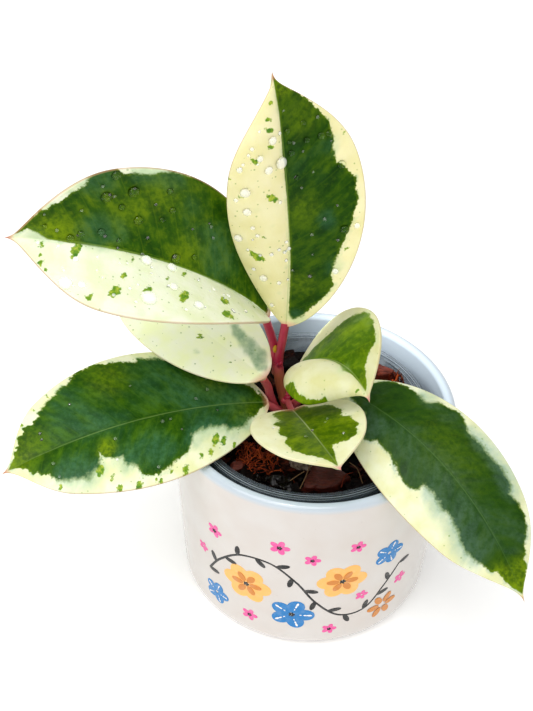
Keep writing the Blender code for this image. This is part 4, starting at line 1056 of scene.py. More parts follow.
PATTERNS = {
    "leaf_top": Pattern(
        left_limit=((0.04, -0.3), (0.07, -0.06), (0.3, -0.02), (0.5, 0.01), (0.7, 0.04), (0.86, 0),
                    (0.93, 0.02), (0.97, 0.3)),
        right_limit=((0.04, -0.45), (0.07, -0.65), (0.12, -0.75), (0.17, -0.82), (0.21, -0.85),
                     (0.25, -0.7), (0.35, -0.74), (0.42, -0.82), (0.5, -0.9), (0.58, -0.88), (0.62, -0.8),
                     (0.64, -0.68), (0.69, -0.7), (0.74, -0.8), (0.79, -0.88), (0.84, -0.93), (0.9, -1.0),
                     (0.96, -1.0), (0.985, 0)),
        flecks=((0.327, 0.6, 2.0), (0.345, 0.68, 1.0), (0.573, 0.28, 1.5), (0.56, 0.24, 1.0),
                (0.817, 0.35, 1.2), (0.757, 0.28, 0.9), (0.723, 0.58, 1.1), (0.853, 0.45, 0.8),
                (0.903, 0.43, 0.8), (0.343, 0.07, 0.6), (0.413, 0.43, 0.5), (0.593, 0.78, 0.5),
                (0.667, 0.98, 0.5), (0.727, -0.93, 0.5), (0.343, -0.82, 0.6)),
        veils_and_sheen=((0.05, -0.5, 4, 1), (0.45, -0.5, 4, 0.9), (0.28, -0.72, 4, 0.7), (0.7, -0.68, 4, 0.7),
               (0.66, -0.3, 8, 0.4), (0.533, 0.53, 1.4, 0.8), (0.46, 0.28, 1, 0.7),
               (0.277, 0.05, 1.2, 0.7), (0.163, 0.25, 1, 0.6)),
        lights=((0.94, -0.6, 4, 0.7), (0.2, -0.25, 5, 0.35), (0.82, -0.5, 6, 0.3), (0.5, -0.2, 5, 0.3))),
    "leaf_upper_left": Pattern(
        left_limit=((0.02, -0.1), (0.1, -0.04), (0.3, 0), (0.6, 0.02), (0.8, 0.03), (0.87, 0),
                    (0.9, -0.2), (0.93, -0.6), (0.965, -0.95)),
        right_limit=((0.02, -0.4), (0.08, -0.8), (0.2, -1.0), (0.4, -1.08), (0.48, -1.03), (0.57, -1.0),
                     (0.62, -0.93), (0.69, -0.94), (0.73, -1.1), (0.77, -1.1), (0.79, -0.9),
                     (0.82, -0.86), (0.85, -0.84), (0.88, -0.89), (0.92, -1.1), (0.965, -1.1)),
        flecks=((0.262, 0.45, 1.7), (0.275, 0.42, 1.1), (0.277, 0.78, 1.9), (0.265, 0.84, 1.2),
                (0.427, 0.53, 2.0), (0.55, 0.53, 1.5), (0.657, 0.65, 2.0), (0.737, 0.86, 1.2),
                (0.627, 0.38, 1.1), (0.78, 0.14, 1.9), (0.785, 0.22, 1.2), (0.887, 0.2, 1.0),
                (0.887, 0.78, 1.0), (0.87, 0.84, 0.7), (0.413, 0.11, 1.1), (0.48, 0.28, 0.7),
                (0.597, 0.1, 0.7), (0.103, 0.2, 0.6), (0.89, 0.55, 0.5)),
        veils_and_sheen=((0.3, -0.3, 8, 0.8), (0.35, -0.55, 5, 0.8), (0.42, -0.42, 6, 0.4), (0.47, -0.68, 5, 0.6),
               (0.56, -0.92, 5, 1), (0.63, -0.92, 5, 1), (0.72, -0.16, 7, 1), (0.66, -0.2, 4, 0.7),
               (0.76, -0.9, 6, 1), (0.9, -0.1, 4, 0.8), (0.85, 0.8, 1.5, 0.8), (0.347, 0.65, 1.3, 0.7),
               (0.58, 0.9, 2, 0.7), (0.12, 0.2, 4, 0.4), (0.21, 0.12, 5, 0.3)),
        lights=((0.84, -0.12, 6, 1), (0.88, -0.25, 4, 0.8), (0.67, 0.04, 2.5, 0.9), (0.49, 0.06, 2, 0.8),
                (0.65, -0.45, 6, 0.4), (0.42, -0.18, 6, 0.4), (0.57, -0.72, 6, 0.4))),
    "leaf_middle_left": Pattern(
        left_limit=((-0.5, 0),),
        right_limit=((-0.5, 0),),
        flecks=((0.345, 0.16, 0.9), (0.355, 0.12, 0.7), (0.16, 0.25, 0.5), (0.22, -0.12, 0.4),
                (0.27, -0.15, 0.4)),
        veils_and_sheen=((0.05, -0.28, 2.2, 1), (0.08, -0.4, 2.8, 1), (0.12, -0.44, 3.2, 1), (0.16, -0.43, 3.2, 1),
               (0.2, -0.43, 2.8, 1), (0.24, -0.45, 2.4, 1), (0.28, -0.48, 1.8, 0.9),
               (0.1, -0.6, 2.2, 0.8), (0.3, 0.5, 1.5, 0.4))),
    "leaf_lower_left": Pattern(
        left_limit=((0.01, 0.3), (0.05, 0.52), (0.12, 0.6), (0.18, 0.62), (0.21, 0.48), (0.26, 0.38),
                    (0.33, 0.46), (0.35, 0.6), (0.38, 0.68), (0.44, 0.83), (0.5, 0.86), (0.545, 0.83),
                    (0.56, 0.72), (0.59, 0.62), (0.61, 0.5), (0.65, 0.43), (0.67, 0.33), (0.69, 0.55),
                    (0.74, 0.74), (0.78, 0.74), (0.83, 0.68), (0.88, 0.58), (0.91, 0.42), (0.95, 0.15)),
        right_limit=((0.01, -0.3), (0.05, -0.6), (0.15, -0.78), (0.36, -0.85), (0.41, -0.88),
                     (0.49, -0.9), (0.55, -0.95), (0.6, -0.98), (0.65, -1.02), (0.68, -0.89),
                     (0.73, -0.88), (0.77, -0.86), (0.81, -0.78), (0.845, -0.7), (0.87, -0.8),
                     (0.91, -0.78), (0.95, -0.5), (0.975, -0.1)),
        flecks=((0.183, 0.93, 0.8), (0.28, 0.83, 1.2), (0.32, 0.82, 1.0), (0.395, 0.93, 1.5),
                (0.22, 0.74, 1.4), (0.25, 0.66, 1.8), (0.5, 0.97, 1.0), (0.51, 0.92, 0.6),
                (0.58, 0.97, 1.6), (0.65, 0.96, 1.4), (0.69, 0.62, 1.8), (0.66, 0.78, 0.9),
                (0.84, 0.87, 0.8), (0.76, -0.93, 0.7), (0.82, -0.93, 0.7), (0.87, -0.93, 0.8),
                (0.92, -0.8, 0.6), (0.45, 0.88, 0.6)),
        veils_and_sheen=((0.23, 0.62, 7, 1), (0.3, 0.55, 6, 0.9), (0.19, 0.72, 5, 0.8), (0.28, 0.45, 7, 0.8),
               (0.11, 0.65, 4, 0.8), (0.77, 0.65, 9, 0.9), (0.7, 0.66, 4, 0.9), (0.6, 0.62, 5, 0.9),
               (0.57, 0.5, 4, 0.8), (0.4, -0.55, 14, 0.6), (0.15, -0.14, 8, 0.9), (0.28, -0.2, 8, 0.8),
               (0.7, -0.45, 12, 0.6), (0.47, 0.5, 8, 0.8), (0.6, 0, 8, 0.5)),
        lights=((0.635, 0.28, 3.0, 1), (0.655, 0.36, 1.8, 1), (0.2, -0.6, 7, 0.5), (0.55, -0.7, 7, 0.5),
                (0.95, 0, 5, 0.9), (0.87, -0.3, 6, 0.4), (0.1, 0.3, 6, 0.4))),
    "leaf_lower_right": Pattern(
        left_limit=((0.02, 0.3), (0.08, 0.8), (0.14, 0.95), (0.2, 0.88), (0.24, 0.8), (0.27, 0.73),
                    (0.29, 0.88), (0.35, 0.93), (0.39, 0.9), (0.44, 0.74), (0.48, 0.76), (0.55, 0.8),
                    (0.6, 0.82), (0.65, 0.84), (0.67, 0.7), (0.71, 0.82), (0.75, 0.88), (0.79, 0.85),
                    (0.82, 0.73), (0.85, 0.78), (0.87, 0.68), (0.91, 0.93), (0.95, 0.8), (0.97, 0.4)),
        right_limit=((0.02, -0.1), (0.08, -0.2), (0.14, -0.3), (0.17, -0.62), (0.21, -0.68),
                     (0.25, -0.52), (0.33, -0.52), (0.4, -0.62), (0.44, -0.66), (0.49, -0.57),
                     (0.485, -0.44), (0.56, -0.44), (0.59, -0.5), (0.62, -0.46), (0.67, -0.5),
                     (0.71, -0.58), (0.75, -0.66), (0.79, -0.68), (0.84, -0.62), (0.87, -0.52),
                     (0.92, -0.62), (0.963, -0.15)),
        veils_and_sheen=((0.26, 0.86, 4.5, 1), (0.45, 0.88, 4, 1), (0.5, 0.84, 5, 1), (0.56, 0.86, 5, 1),
               (0.61, 0.86, 5, 1), (0.66, 0.86, 5, 1), (0.18, -0.46, 6, 1), (0.22, -0.3, 4, 0.7),
               (0.53, -0.46, 4, 1), (0.59, -0.52, 4, 1), (0.65, -0.52, 5, 1), (0.71, -0.6, 5, 1),
               (0.77, -0.66, 6, 1), (0.3, -0.12, 9, 0.45), (0.42, -0.2, 11, 0.5), (0.56, -0.16, 11, 0.5),
               (0.7, -0.2, 10, 0.45), (0.1, 0.1, 8, 0.5), (0.78, 0.45, 9, 0.5), (0.35, 0.75, 6, 0.4)),
        lights=((0.95, 0, 6, 1), (0.88, -0.5, 4, 0.8), (0.89, 0.6, 4, 0.7), (0.38, 0.3, 8, 0.15),
                (0.5, 0.3, 9, 0.15))),
    "leaf_young_front": Pattern(
        left_limit=((0.0, 0.4), (0.03, 0.5), (0.12, 0.52), (0.2, 0.67), (0.38, 0.71), (0.42, 0.62),
                    (0.46, 0.64), (0.49, 0.73), (0.56, 0.78), (0.62, 0.84), (0.67, 0.78), (0.74, 0.74),
                    (0.76, 0.6), (0.73, 0.35), (0.72, 0.2), (0.8, 0.14), (0.9, 0.09), (0.94, 0)),
        right_limit=((0.0, -0.25), (0.03, -0.4), (0.06, -0.62), (0.1, -0.72), (0.14, -0.6), (0.2, -0.5),
                     (0.25, -0.48), (0.3, -0.55), (0.35, -0.5), (0.45, -0.56), (0.54, -0.5),
                     (0.59, -0.62), (0.72, -0.64), (0.77, -0.58), (0.8, -0.44), (0.84, -0.3),
                     (0.9, -0.28), (0.94, -0.1)),
        veils_and_sheen=((0.14, -0.6, 2.5, 0.8), (0.24, -0.5, 2.5, 0.8), (0.06, 0.5, 3, 0.5)),
        lights=((0.46, 0.28, 2.6, 0.8), (0.12, 0.5, 3, 0.7), (0.3, -0.2, 3, 0.4), (0.7, 0.4, 3, 0.4),
                (0.88, -0.1, 2, 0.6))),
    "leaf_young_back": Pattern(
        left_limit=((0.0, 0.15), (0.05, 0.25), (0.17, 0.3), (0.3, 0.42), (0.36, 0.6), (0.45, 0.8),
                    (0.53, 0.93), (0.63, 0.94), (0.72, 0.82), (0.75, 0.6), (0.78, 0.45), (0.83, 0.36),
                    (0.89, 0.34), (0.91, 0.1)),
        right_limit=((0.0, -0.05), (0.3, -0.04), (0.6, -0.04), (0.68, -0.12), (0.73, -0.05),
                     (0.91, 0.02)),
        patches=(((0.22, -1.3), (0.24, -0.92), (0.3, -0.82), (0.37, -0.77), (0.44, -0.83), (0.53, -0.88),
                  (0.62, -0.9), (0.7, -0.88), (0.74, -0.86), (0.78, -1.3), (0.68, -1.3), (0.57, -1.3),
                  (0.45, -1.3), (0.33, -1.3)),),
        flecks=((0.88, -0.4, 0.7),),
        veils_and_sheen=((0.66, -0.1, 3.5, 0.8), (0.6, 0.86, 3.5, 0.6), (0.5, 0.8, 3, 0.5)),
        lights=((0.85, 0.25, 3, 0.7), (0.7, 0.5, 3, 0.4), (0.45, -0.9, 8, 0.7), (0.62, -0.9, 6, 0.7))),
}


def blade_outline(blade, t):
    """Half width at each t as a share of the widest: round at the base, with a drawn out drip tip."""
    body = np.sin(np.pi * np.clip(t, 0, 1) ** blade.skew).clip(0) ** 0.6
    taper = (np.maximum(0, t - blade.shoulder) / (1 - blade.shoulder)) ** 2.5
    depth, reach = blade.drip
    return body * (1 - taper) * (1 - depth * np.exp(-((1 - t) / reach) ** 2))


def half_section(fold, curl, v):
    """Across and up from the midrib to v of the half width: an arc that starts at the fold."""
    start = math.radians(fold)
    bend = math.radians(curl)
    if abs(bend) < 0.001:
        return v * math.cos(start), v * math.sin(start)
    end = start + bend * v
    return (np.sin(end) - math.sin(start)) / bend, (math.cos(start) - np.cos(end)) / bend


def blade_face(blade, t, v):
    """The face's points over t and v, which way it faces there, and the half width in mm."""
    steps = np.linspace(0, 1, WALK_STEPS + 1)
    along, _, _ = blade_axes(blade, (steps[1:] + steps[:-1]) / 2)
    walked = np.vstack([np.zeros(3), np.cumsum(along * blade.length / WALK_STEPS, 0)])
    midrib = np.stack([np.interp(t, steps, walked[:, axis]) for axis in range(3)], -1) + blade.base
    _, left, up = blade_axes(blade, t)
    sides = np.where(v > 0, 0, 1)
    across = np.zeros(len(v))
    rise = np.zeros(len(v))
    for side in (0, 1):
        mine = sides == side
        across[mine], rise[mine] = half_section(blade.fold[side], blade.curl[side], np.abs(v[mine]))
    reach = blade_outline(blade, t)[:, None] * np.array(blade.half_width)[sides][None]
    face = midrib[:, None] + reach[..., None] * (
        (np.sign(v) * across)[None, :, None] * left[:, None] + rise[None, :, None] * up[:, None])
    normal = np.cross(np.gradient(face, axis=0), np.gradient(face, axis=1))
    size = np.linalg.norm(normal, axis=-1, keepdims=True)
    return face, np.where(size > 1e-9, normal / np.maximum(size, 1e-9), up[:, None]), reach


def flat_place(blade, t, v):
    """Where t and v lie on the blade pressed flat, in mm from its base."""
    reach = blade_outline(blade, np.atleast_1d(np.clip(t, 0, 1)))
    widest = np.where(np.asarray(v) > 0, blade.half_width[0], blade.half_width[1])
    return np.asarray(t) * blade.length, np.asarray(v) * widest * reach.reshape(np.shape(t))


def inside_distance(x, y, corners):
    """How far inside a closed outline each place is, in mm, and less than 0 outside it."""
    inside = np.zeros(x.shape, bool)
    nearest = np.full(x.shape, 1e9)
    for (x0, y0), (x1, y1) in zip(corners, corners[1:] + corners[:1]):
        run = max((x1 - x0) ** 2 + (y1 - y0) ** 2, 1e-12)
        share = np.clip(((x - x0) * (x1 - x0) + (y - y0) * (y1 - y0)) / run, 0, 1)
        nearest = np.minimum(nearest, np.hypot(x - x0 - share * (x1 - x0), y - y0 - share * (y1 - y0)))
        if y0 != y1:
            inside ^= ((y0 > y) != (y1 > y)) & (x < x0 + (y - y0) * (x1 - x0) / (y1 - y0))
    return np.where(inside, nearest, -nearest)


def green_depth(blade, pattern, x, y):
    """How deep in the green each place lies, in mm: the main patch, the patches more and the flecks."""
    outlines = [pattern.left_limit + pattern.right_limit[::-1], *pattern.patches]
    green = np.full(x.shape, -9.0)
    for outline in outlines:
        px, py = flat_place(blade, np.array([t for t, _ in outline]), np.array([v for _, v in outline]))
        green = np.maximum(green, inside_distance(x, y, list(zip(px.tolist(), py.tolist()))))
    fleck = np.full(x.shape, -9.0)
    lean = math.atan2(1, VEIN_SLANT)
    for t, v, radius in pattern.flecks:
        px, py = flat_place(blade, np.array([t]), np.array([v]))
        dx, dy = x - px, np.sign(v) * (y - py)
        down = dx * math.cos(lean) + dy * math.sin(lean)
        aside = dx * math.sin(lean) - dy * math.cos(lean)
        fleck = np.maximum(fleck, radius - np.hypot(down / FLECK_STRETCH, aside * FLECK_STRETCH))
    return np.clip(green, -6, 6), np.clip(fleck, -6, 6)


def soft_spots(blade, spots, x, y):
    """Strength of overlapping soft round spots at each place of the flat blade."""
    strength = np.zeros(x.shape)
    for t, v, radius, most in spots:
        px, py = flat_place(blade, np.array([t]), np.array([v]))
        strength += (1 - strength) * most * np.exp(-(np.hypot(x - px, y - py) / radius) ** 3)
    return strength


def noise_over(points, scale, seed):
    """Smooth noise, about -1 to 1, at each point of an array of places."""
    shift = Vector((seed * 3.7, seed * 1.9, seed * 7.3))
    return np.array([noise.noise(Vector(p) / scale + shift) for p in points])


def make_blade(name, blade, pattern, rows, columns):
    """A closed waxy blade: rings round the leaf's section, from its base to its tip, with its pattern."""
    steps = np.arange(rows + 1) / rows
    t = (steps + (1 - np.cos(np.pi * steps)) / 2) / 2
    side_steps = np.arange(columns + 1) / columns
    half = (side_steps + np.sin(np.pi / 2 * side_steps)) / 2
    v = np.concatenate([-half[:0:-1], half])
    face, normal, reach = blade_face(blade, t, v)
    _, _, up = blade_axes(blade, t)
    x = t[:, None] * blade.length + 0 * reach
    y = v[None] * reach
    from_edge = (1 - np.abs(v))[None] * reach
    narrow = np.clip(reach / 3.5, 0, 1) ** 0.5
    thickness = (BLADE_EDGE + (BLADE_RIB - BLADE_EDGE) * (1 - np.abs(v))[None] ** 2) * narrow
    half_edge = BLADE_EDGE / 2 * narrow
    inward = np.clip(from_edge / np.maximum(half_edge, 1e-6), 0, 1)
    drop = half_edge * (1 - np.sqrt(1 - (1 - inward) ** 2))
    veins = np.stack([x - VEIN_SLANT * np.abs(y), np.abs(y) * 0.55, np.sign(y) * 20], -1)
    quilt = noise_over(veins.reshape(-1, 3), QUILT_SIZE, len(name)).reshape(x.shape)
    quilt *= QUILT_HEIGHT * np.clip(from_edge / 2, 0, 1) * (1 - np.exp(-(y / 1.2) ** 2))
    groove = blade.groove * np.exp(-(y / GROOVE_WIDTH) ** 2) * np.clip(reach / 4, 0, 1)
    keel = KEEL_DEPTH * np.exp(-(y / KEEL_WIDTH) ** 2) * (1 - t[:, None]) ** 2 * np.clip(x / 2, 0, 1)
    relief = quilt - groove * np.clip(x / 3, 0, 1)
    top = face + normal * (relief - drop)[..., None]
    bottom = face - normal * (thickness - drop + keel)[..., None]
    edge = face - normal * (thickness / 2)[..., None]
    top[:, (0, -1)] = edge[:, (0, -1)]
    rings = np.concatenate([top, bottom[:, -2:0:-1]], 1)
    around = rings.shape[1]
    fold_back = np.concatenate([np.arange(len(v)), np.arange(len(v) - 2, 0, -1)])
    under = np.concatenate([np.zeros(len(v)), np.ones(len(v) - 2)])
    inner = rings[1:-1].reshape(-1, 3)
    verts = np.vstack([face[:1, columns] - up[:1], inner, face[-1:, columns] - up[-1:] * 0.2]) * MM
    ring_of = np.arange(rows - 1)[:, None] * around + 1
    here = np.arange(around)
    after = (here + 1) % around
    low, high = ring_of[:-1], ring_of[1:]
    quads = np.stack([low + here, high + here, high + after, low + after], -1)
    first, last = ring_of[0, 0], ring_of[-1, 0]
    base_cap = np.stack([0 * here, first + here, first + after], -1)
    tip_cap = np.stack([last + here, 0 * here + len(verts) - 1, last + after], -1)
    mesh = bpy.data.meshes.new(name)
    faces = quads.reshape(-1, 4).tolist() + base_cap.tolist() + tip_cap.tolist()
    mesh.from_pydata(verts.tolist(), [], faces)
    mesh.shade_smooth()
    green, fleck = green_depth(blade, pattern, x, y)
    kept = {
        "green": green, "fleck": fleck, "veil_and_sheen": soft_spots(blade, pattern.veils_and_sheen, x, y),
        "light": soft_spots(blade, pattern.lights, x, y), "from_edge": from_edge,
        "from_tip": blade.length - x, "flat": np.stack([x, y, 0 * x], -1), "veins": veins}
    for label, values in kept.items():
        folded = values[1:-1][:, fold_back].reshape(-1, *values.shape[2:])
        full = np.concatenate([values[:1, columns], folded, values[-1:, columns]])
        vector = values.ndim == 3
        attribute = mesh.attributes.new(label, "FLOAT_VECTOR" if vector else "FLOAT", "POINT")
        attribute.data.foreach_set("vector" if vector else "value", full.astype(np.float32).ravel())
    undersides = np.concatenate([[1], np.tile(under, rows - 1), [1]]).astype(np.float32)
    mesh.attributes.new("under", "FLOAT", "POINT").data.foreach_set("value", undersides)
    return add_object(name + "_blade", mesh)


@dataclass
class Tissue:
    """Colours of a blade's tissues, the veiled one partly a painted sheen; how ragged the green's border
    is, in mm, and how much a veil softens it; how much haze stays far from the green; the midrib's
    colour, half width in mm and share."""

    deep: str
    green: str
    light: str
    veiled_and_sheen: str
    haze: str
    cream: str
    pale: str
    ragged: float
    thinning: float
    far_haze: float = 0.25
    rib: str = "#8FA860"
    rib_width: float = 0.3
    rib_share: float = 0.35
    edge_share: float = 0.65
    tip: str = "#C9545C"


TISSUES = {
    "leaf_top": Tissue(
        "#173C00", "#274C00", "#466400", "#345F42", "#BCCB9A", "#E4DDA8", "#EAE4B8", 0.5, 2.5),
    "leaf_upper_left": Tissue(
        "#214800", "#365C00", "#607A06", "#3F6B48", "#B5CFA8", "#E4EAC4", "#EEF1DA", 0.45, 2.5),
    # The middle left leaf's cream is painted lighter, for the shade that the leaf above casts on it.
    "leaf_middle_left": Tissue(
        "#1E4600", "#4F7A1C", "#7A9A30", "#7F9F78", "#86A884", "#F8FECE", "#FAFEE2", 0.5, 3,
        far_haze=0.95, rib="#D8DCB4", rib_share=0.1, edge_share=0.3),
    "leaf_lower_left": Tissue(
        "#1C4600", "#2C5600", "#4A7006", "#46765A", "#A9C4A0", "#E4E6B4", "#EEF0D2", 0.9, 6,
        rib="#86A060", rib_share=0.42),
    "leaf_lower_right": Tissue(
        "#1F4206", "#2C500A", "#385806", "#54705E", "#9DB8A6", "#DEDEAE", "#E6E8C8", 0.5, 5,
        rib="#5E7E48", rib_width=0.22, rib_share=0.4, tip="#D0884A"),
    "leaf_young_front": Tissue(
        "#3E5E00", "#557000", "#789008", "#8EA468", "#C4D2A0", "#E1E0B2", "#E9EAC8", 0.6, 3,
        rib="#B4BE90", rib_width=0.34, rib_share=0.6, tip="#D8728A", edge_share=0.25),
    "leaf_young_back": Tissue(
        "#3E6000", "#527400", "#76920A", "#8AA66A", "#C4D2A0", "#D2D19C", "#DADAB4", 0.5, 4,
        rib="#E0E2B0", rib_share=0.3, tip="#D8728A", edge_share=0.25),
}
LEAF_MARKS = ("flat", "veins", "green", "fleck", "veil_and_sheen", "light", "from_edge", "from_tip", "under")
FLECK_STOPS = [(0.36, "#3C7806"), (0.5, "#749A06"), (0.64, "#B0BC3C")]
SPRING_GREEN = "#7C940A"


def leaf_skin(name, tissue):
    """Living leaf under a thin wax: green tissue over cream, scalloped along the side veins.

    The wax gives a broad soft sheen, and the cream lets a little light into its depth. Sizes are in mm."""
    material, tree, shader = new_material(name)
    marks = {mark: add(tree, "ShaderNodeAttribute", attribute_name=mark).outputs for mark in LEAF_MARKS}
    flat = marks["flat"]["Vector"]
    veins = marks["veins"]["Vector"]
    along = add(tree, "ShaderNodeSeparateXYZ", {0: flat}).outputs
    off_rib = add(tree, "ShaderNodeMath", {0: along["Y"]}, operation="ABSOLUTE")

    # Borders: lobes of 3 mm and teeth of 0.8 mm, which fade out where the green stops at the midrib. A
    # veiled border is soft, because the green thins out over some millimetres there.
    lobes = add(tree, "ShaderNodeTexNoise", {"Vector": veins, "Scale": 1 / 3.2, "Detail": 2.0})
    teeth = add(tree, "ShaderNodeTexNoise", {"Vector": flat, "Scale": 1 / 0.8, "Detail": 2.0})
    away = add(tree, "ShaderNodeMapRange", {0: off_rib, 1: 0.4, 2: 3.5, 3: 0.12, 4: 1.0})
    lobe_shift = add(tree, "ShaderNodeMapRange", {
        0: lobes, 1: 0.3, 2: 0.7, 3: -tissue.ragged, 4: tissue.ragged}, clamp=False)
    tooth_shift = add(tree, "ShaderNodeMapRange", {0: teeth, 1: 0.3, 2: 0.7, 3: -0.3, 4: 0.3}, clamp=False)
    shift = add(tree, "ShaderNodeMath", {0: lobe_shift, 1: tooth_shift}, operation="ADD")
    border = add(tree, "ShaderNodeMath", {
        0: shift, 1: away, 2: marks["green"]["Fac"]}, operation="MULTIPLY_ADD")
    softness = add(tree, "ShaderNodeMapRange", {
        0: marks["veil_and_sheen"]["Fac"], 1: 0.2, 2: 0.9, 3: 1.0, 4: tissue.thinning})
    soft_border = add(tree, "ShaderNodeMath", {0: border, 1: softness}, operation="DIVIDE")
    green_share = add(tree, "ShaderNodeMapRange", {
        0: soft_border, 1: -0.22, 2: 0.22}, interpolation_type="SMOOTHSTEP")
    breaks = add(tree, "ShaderNodeTexNoise", {"Vector": flat, "Scale": 1 / 1.2, "Detail": 3.0})
    break_shift = add(tree, "ShaderNodeMapRange", {0: breaks, 1: 0.3, 2: 0.7, 3: -0.7, 4: 0.6}, clamp=False)
    fleck = add(tree, "ShaderNodeMath", {0: marks["fleck"]["Fac"], 1: break_shift}, operation="ADD")
    fleck_share = add(tree, "ShaderNodeMapRange", {
        0: fleck, 1: -0.2, 2: 0.35, 4: 0.95}, interpolation_type="SMOOTHSTEP")

    # Green: cloudy over 5 mm, with finer light and dark mottling, thin pale side veins, grey-green veils,
    # partly where air lies under the skin and partly a painted sheen of the wax, a lighter rim at its
    # border and glowing spots of young tissue.
    cloud = add(tree, "ShaderNodeTexNoise", {
        "Vector": veins, "Scale": 1 / 5.0, "Detail": 4.0, "Roughness": 0.6})
    mottle = add(tree, "ShaderNodeTexNoise", {
        "Vector": flat, "Scale": 1 / 1.7, "Detail": 4.0, "Roughness": 0.6})
    bright = add(tree, "ShaderNodeMapRange", {0: mottle, 1: 0.52, 2: 0.72, 3: 0.0, 4: 0.6})
    dark = add(tree, "ShaderNodeMapRange", {0: mottle, 1: 0.46, 2: 0.28, 3: 0.0, 4: 0.6})
    vein_places = add(tree, "ShaderNodeSeparateXYZ", {0: veins}).outputs
    vein_off = add(tree, "ShaderNodeMath", {0: vein_places["X"], 1: 3.3}, operation="PINGPONG")
    vein_line = add(tree, "ShaderNodeMapRange", {0: vein_off, 1: 0.05, 2: 0.3, 3: 0.3, 4: 0.0})
    # Veils are partly grey-green tissue and partly a painted sheen of the wax.
    veil_and_sheen_lobes = add(tree, "ShaderNodeMapRange", {0: lobes, 1: 0.3, 2: 0.7, 3: -0.2, 4: 0.2})
    veil_and_sheen_edge = add(tree, "ShaderNodeMath", {0: marks["veil_and_sheen"]["Fac"], 1: veil_and_sheen_lobes}, operation="ADD")
    veil_and_sheen = add(tree, "ShaderNodeMapRange", {0: veil_and_sheen_edge, 1: 0.15, 2: 1.1}, interpolation_type="SMOOTHSTEP")
    veil_and_sheen_mottle = add(tree, "ShaderNodeMapRange", {0: mottle, 1: 0.35, 2: 0.6, 3: 0.3, 4: 0.65})
    veiled_and_sheen = add(tree, "ShaderNodeMath", {0: veil_and_sheen, 1: veil_and_sheen_mottle}, operation="MULTIPLY")
    rim = add(tree, "ShaderNodeMapRange", {0: border, 1: 0.9, 2: 0.1, 3: 0.0, 4: 0.35})
    glow_mottle = add(tree, "ShaderNodeMapRange", {0: mottle, 1: 0.4, 2: 0.62, 3: 0.35, 4: 0.95})
    glow = add(tree, "ShaderNodeMath", {0: marks["light"]["Fac"], 1: glow_mottle}, operation="MULTIPLY")
    green = add(tree, "ShaderNodeValToRGB", {"Fac": cloud}, stops=[
        (0.36, tissue.deep), (0.5, tissue.green), (0.66, tissue.light)])
    for share, colour in ((bright, tissue.light), (dark, tissue.deep), (vein_line, tissue.light),
                          (veiled_and_sheen, tissue.veiled_and_sheen), (rim, SPRING_GREEN), (glow, SPRING_GREEN)):
        green = add(tree, "ShaderNodeMix", {0: share, 6: green, 7: colour}, data_type="RGBA")

    # Cream: two close tones, green haze in places, partly under the painted sheen, and along the border,
    # dots of a few green cells, flecks.
    tint = add(tree, "ShaderNodeTexNoise", {"Vector": flat, "Scale": 1 / 9, "Detail": 4.0})
    halo_near = add(tree, "ShaderNodeMapRange", {0: border, 1: -1.3, 2: -0.1})
    halo_lobes = add(tree, "ShaderNodeMapRange", {0: lobes, 1: 0.42, 2: 0.62, 3: 0.1, 4: 0.75})
    halo = add(tree, "ShaderNodeMath", {0: halo_near, 1: halo_lobes}, operation="MULTIPLY")
    far = add(tree, "ShaderNodeMapRange", {0: border, 1: -5.0, 2: -0.4, 3: tissue.far_haze, 4: 0.9})
    veil_and_sheen_haze = add(tree, "ShaderNodeMath", {0: veil_and_sheen, 1: far}, operation="MULTIPLY")
    haze = add(tree, "ShaderNodeMath", {0: halo, 1: veil_and_sheen_haze}, operation="MAXIMUM")
    haze_mottle = add(tree, "ShaderNodeMapRange", {0: mottle, 1: 0.3, 2: 0.7, 3: 1.0, 4: 0.7})
    hazed = add(tree, "ShaderNodeMath", {0: haze, 1: haze_mottle}, operation="MULTIPLY")
    dots = add(tree, "ShaderNodeTexVoronoi", {"Vector": flat, "Scale": 1 / 2.1}, voronoi_dimensions="2D")
    luck = add(tree, "ShaderNodeSeparateXYZ", {0: dots.outputs["Color"]}).outputs
    dot_size = add(tree, "ShaderNodeMapRange", {0: luck["Y"], 3: 0.04, 4: 0.15})
    dot_off = add(tree, "ShaderNodeMath", {0: dots, 1: dot_size}, operation="SUBTRACT")
    dot_near = add(tree, "ShaderNodeMapRange", {0: dot_off, 1: -0.02, 2: 0.03, 3: 0.45, 4: 0.0})
    dot_kept = add(tree, "ShaderNodeMath", {0: luck["X"], 1: 0.87}, operation="GREATER_THAN")
    dot = add(tree, "ShaderNodeMath", {0: dot_near, 1: dot_kept}, operation="MULTIPLY")
    fleck_colour = add(tree, "ShaderNodeValToRGB", {"Fac": mottle}, stops=FLECK_STOPS)
    cream = add(tree, "ShaderNodeValToRGB", {"Fac": tint}, stops=[
        (0.38, tissue.cream), (0.62, tissue.pale)])
    for share, colour in ((hazed, tissue.haze), (dot, "#5F8C04"), (fleck_share, fleck_colour)):
        cream = add(tree, "ShaderNodeMix", {0: share, 6: cream, 7: colour}, data_type="RGBA")

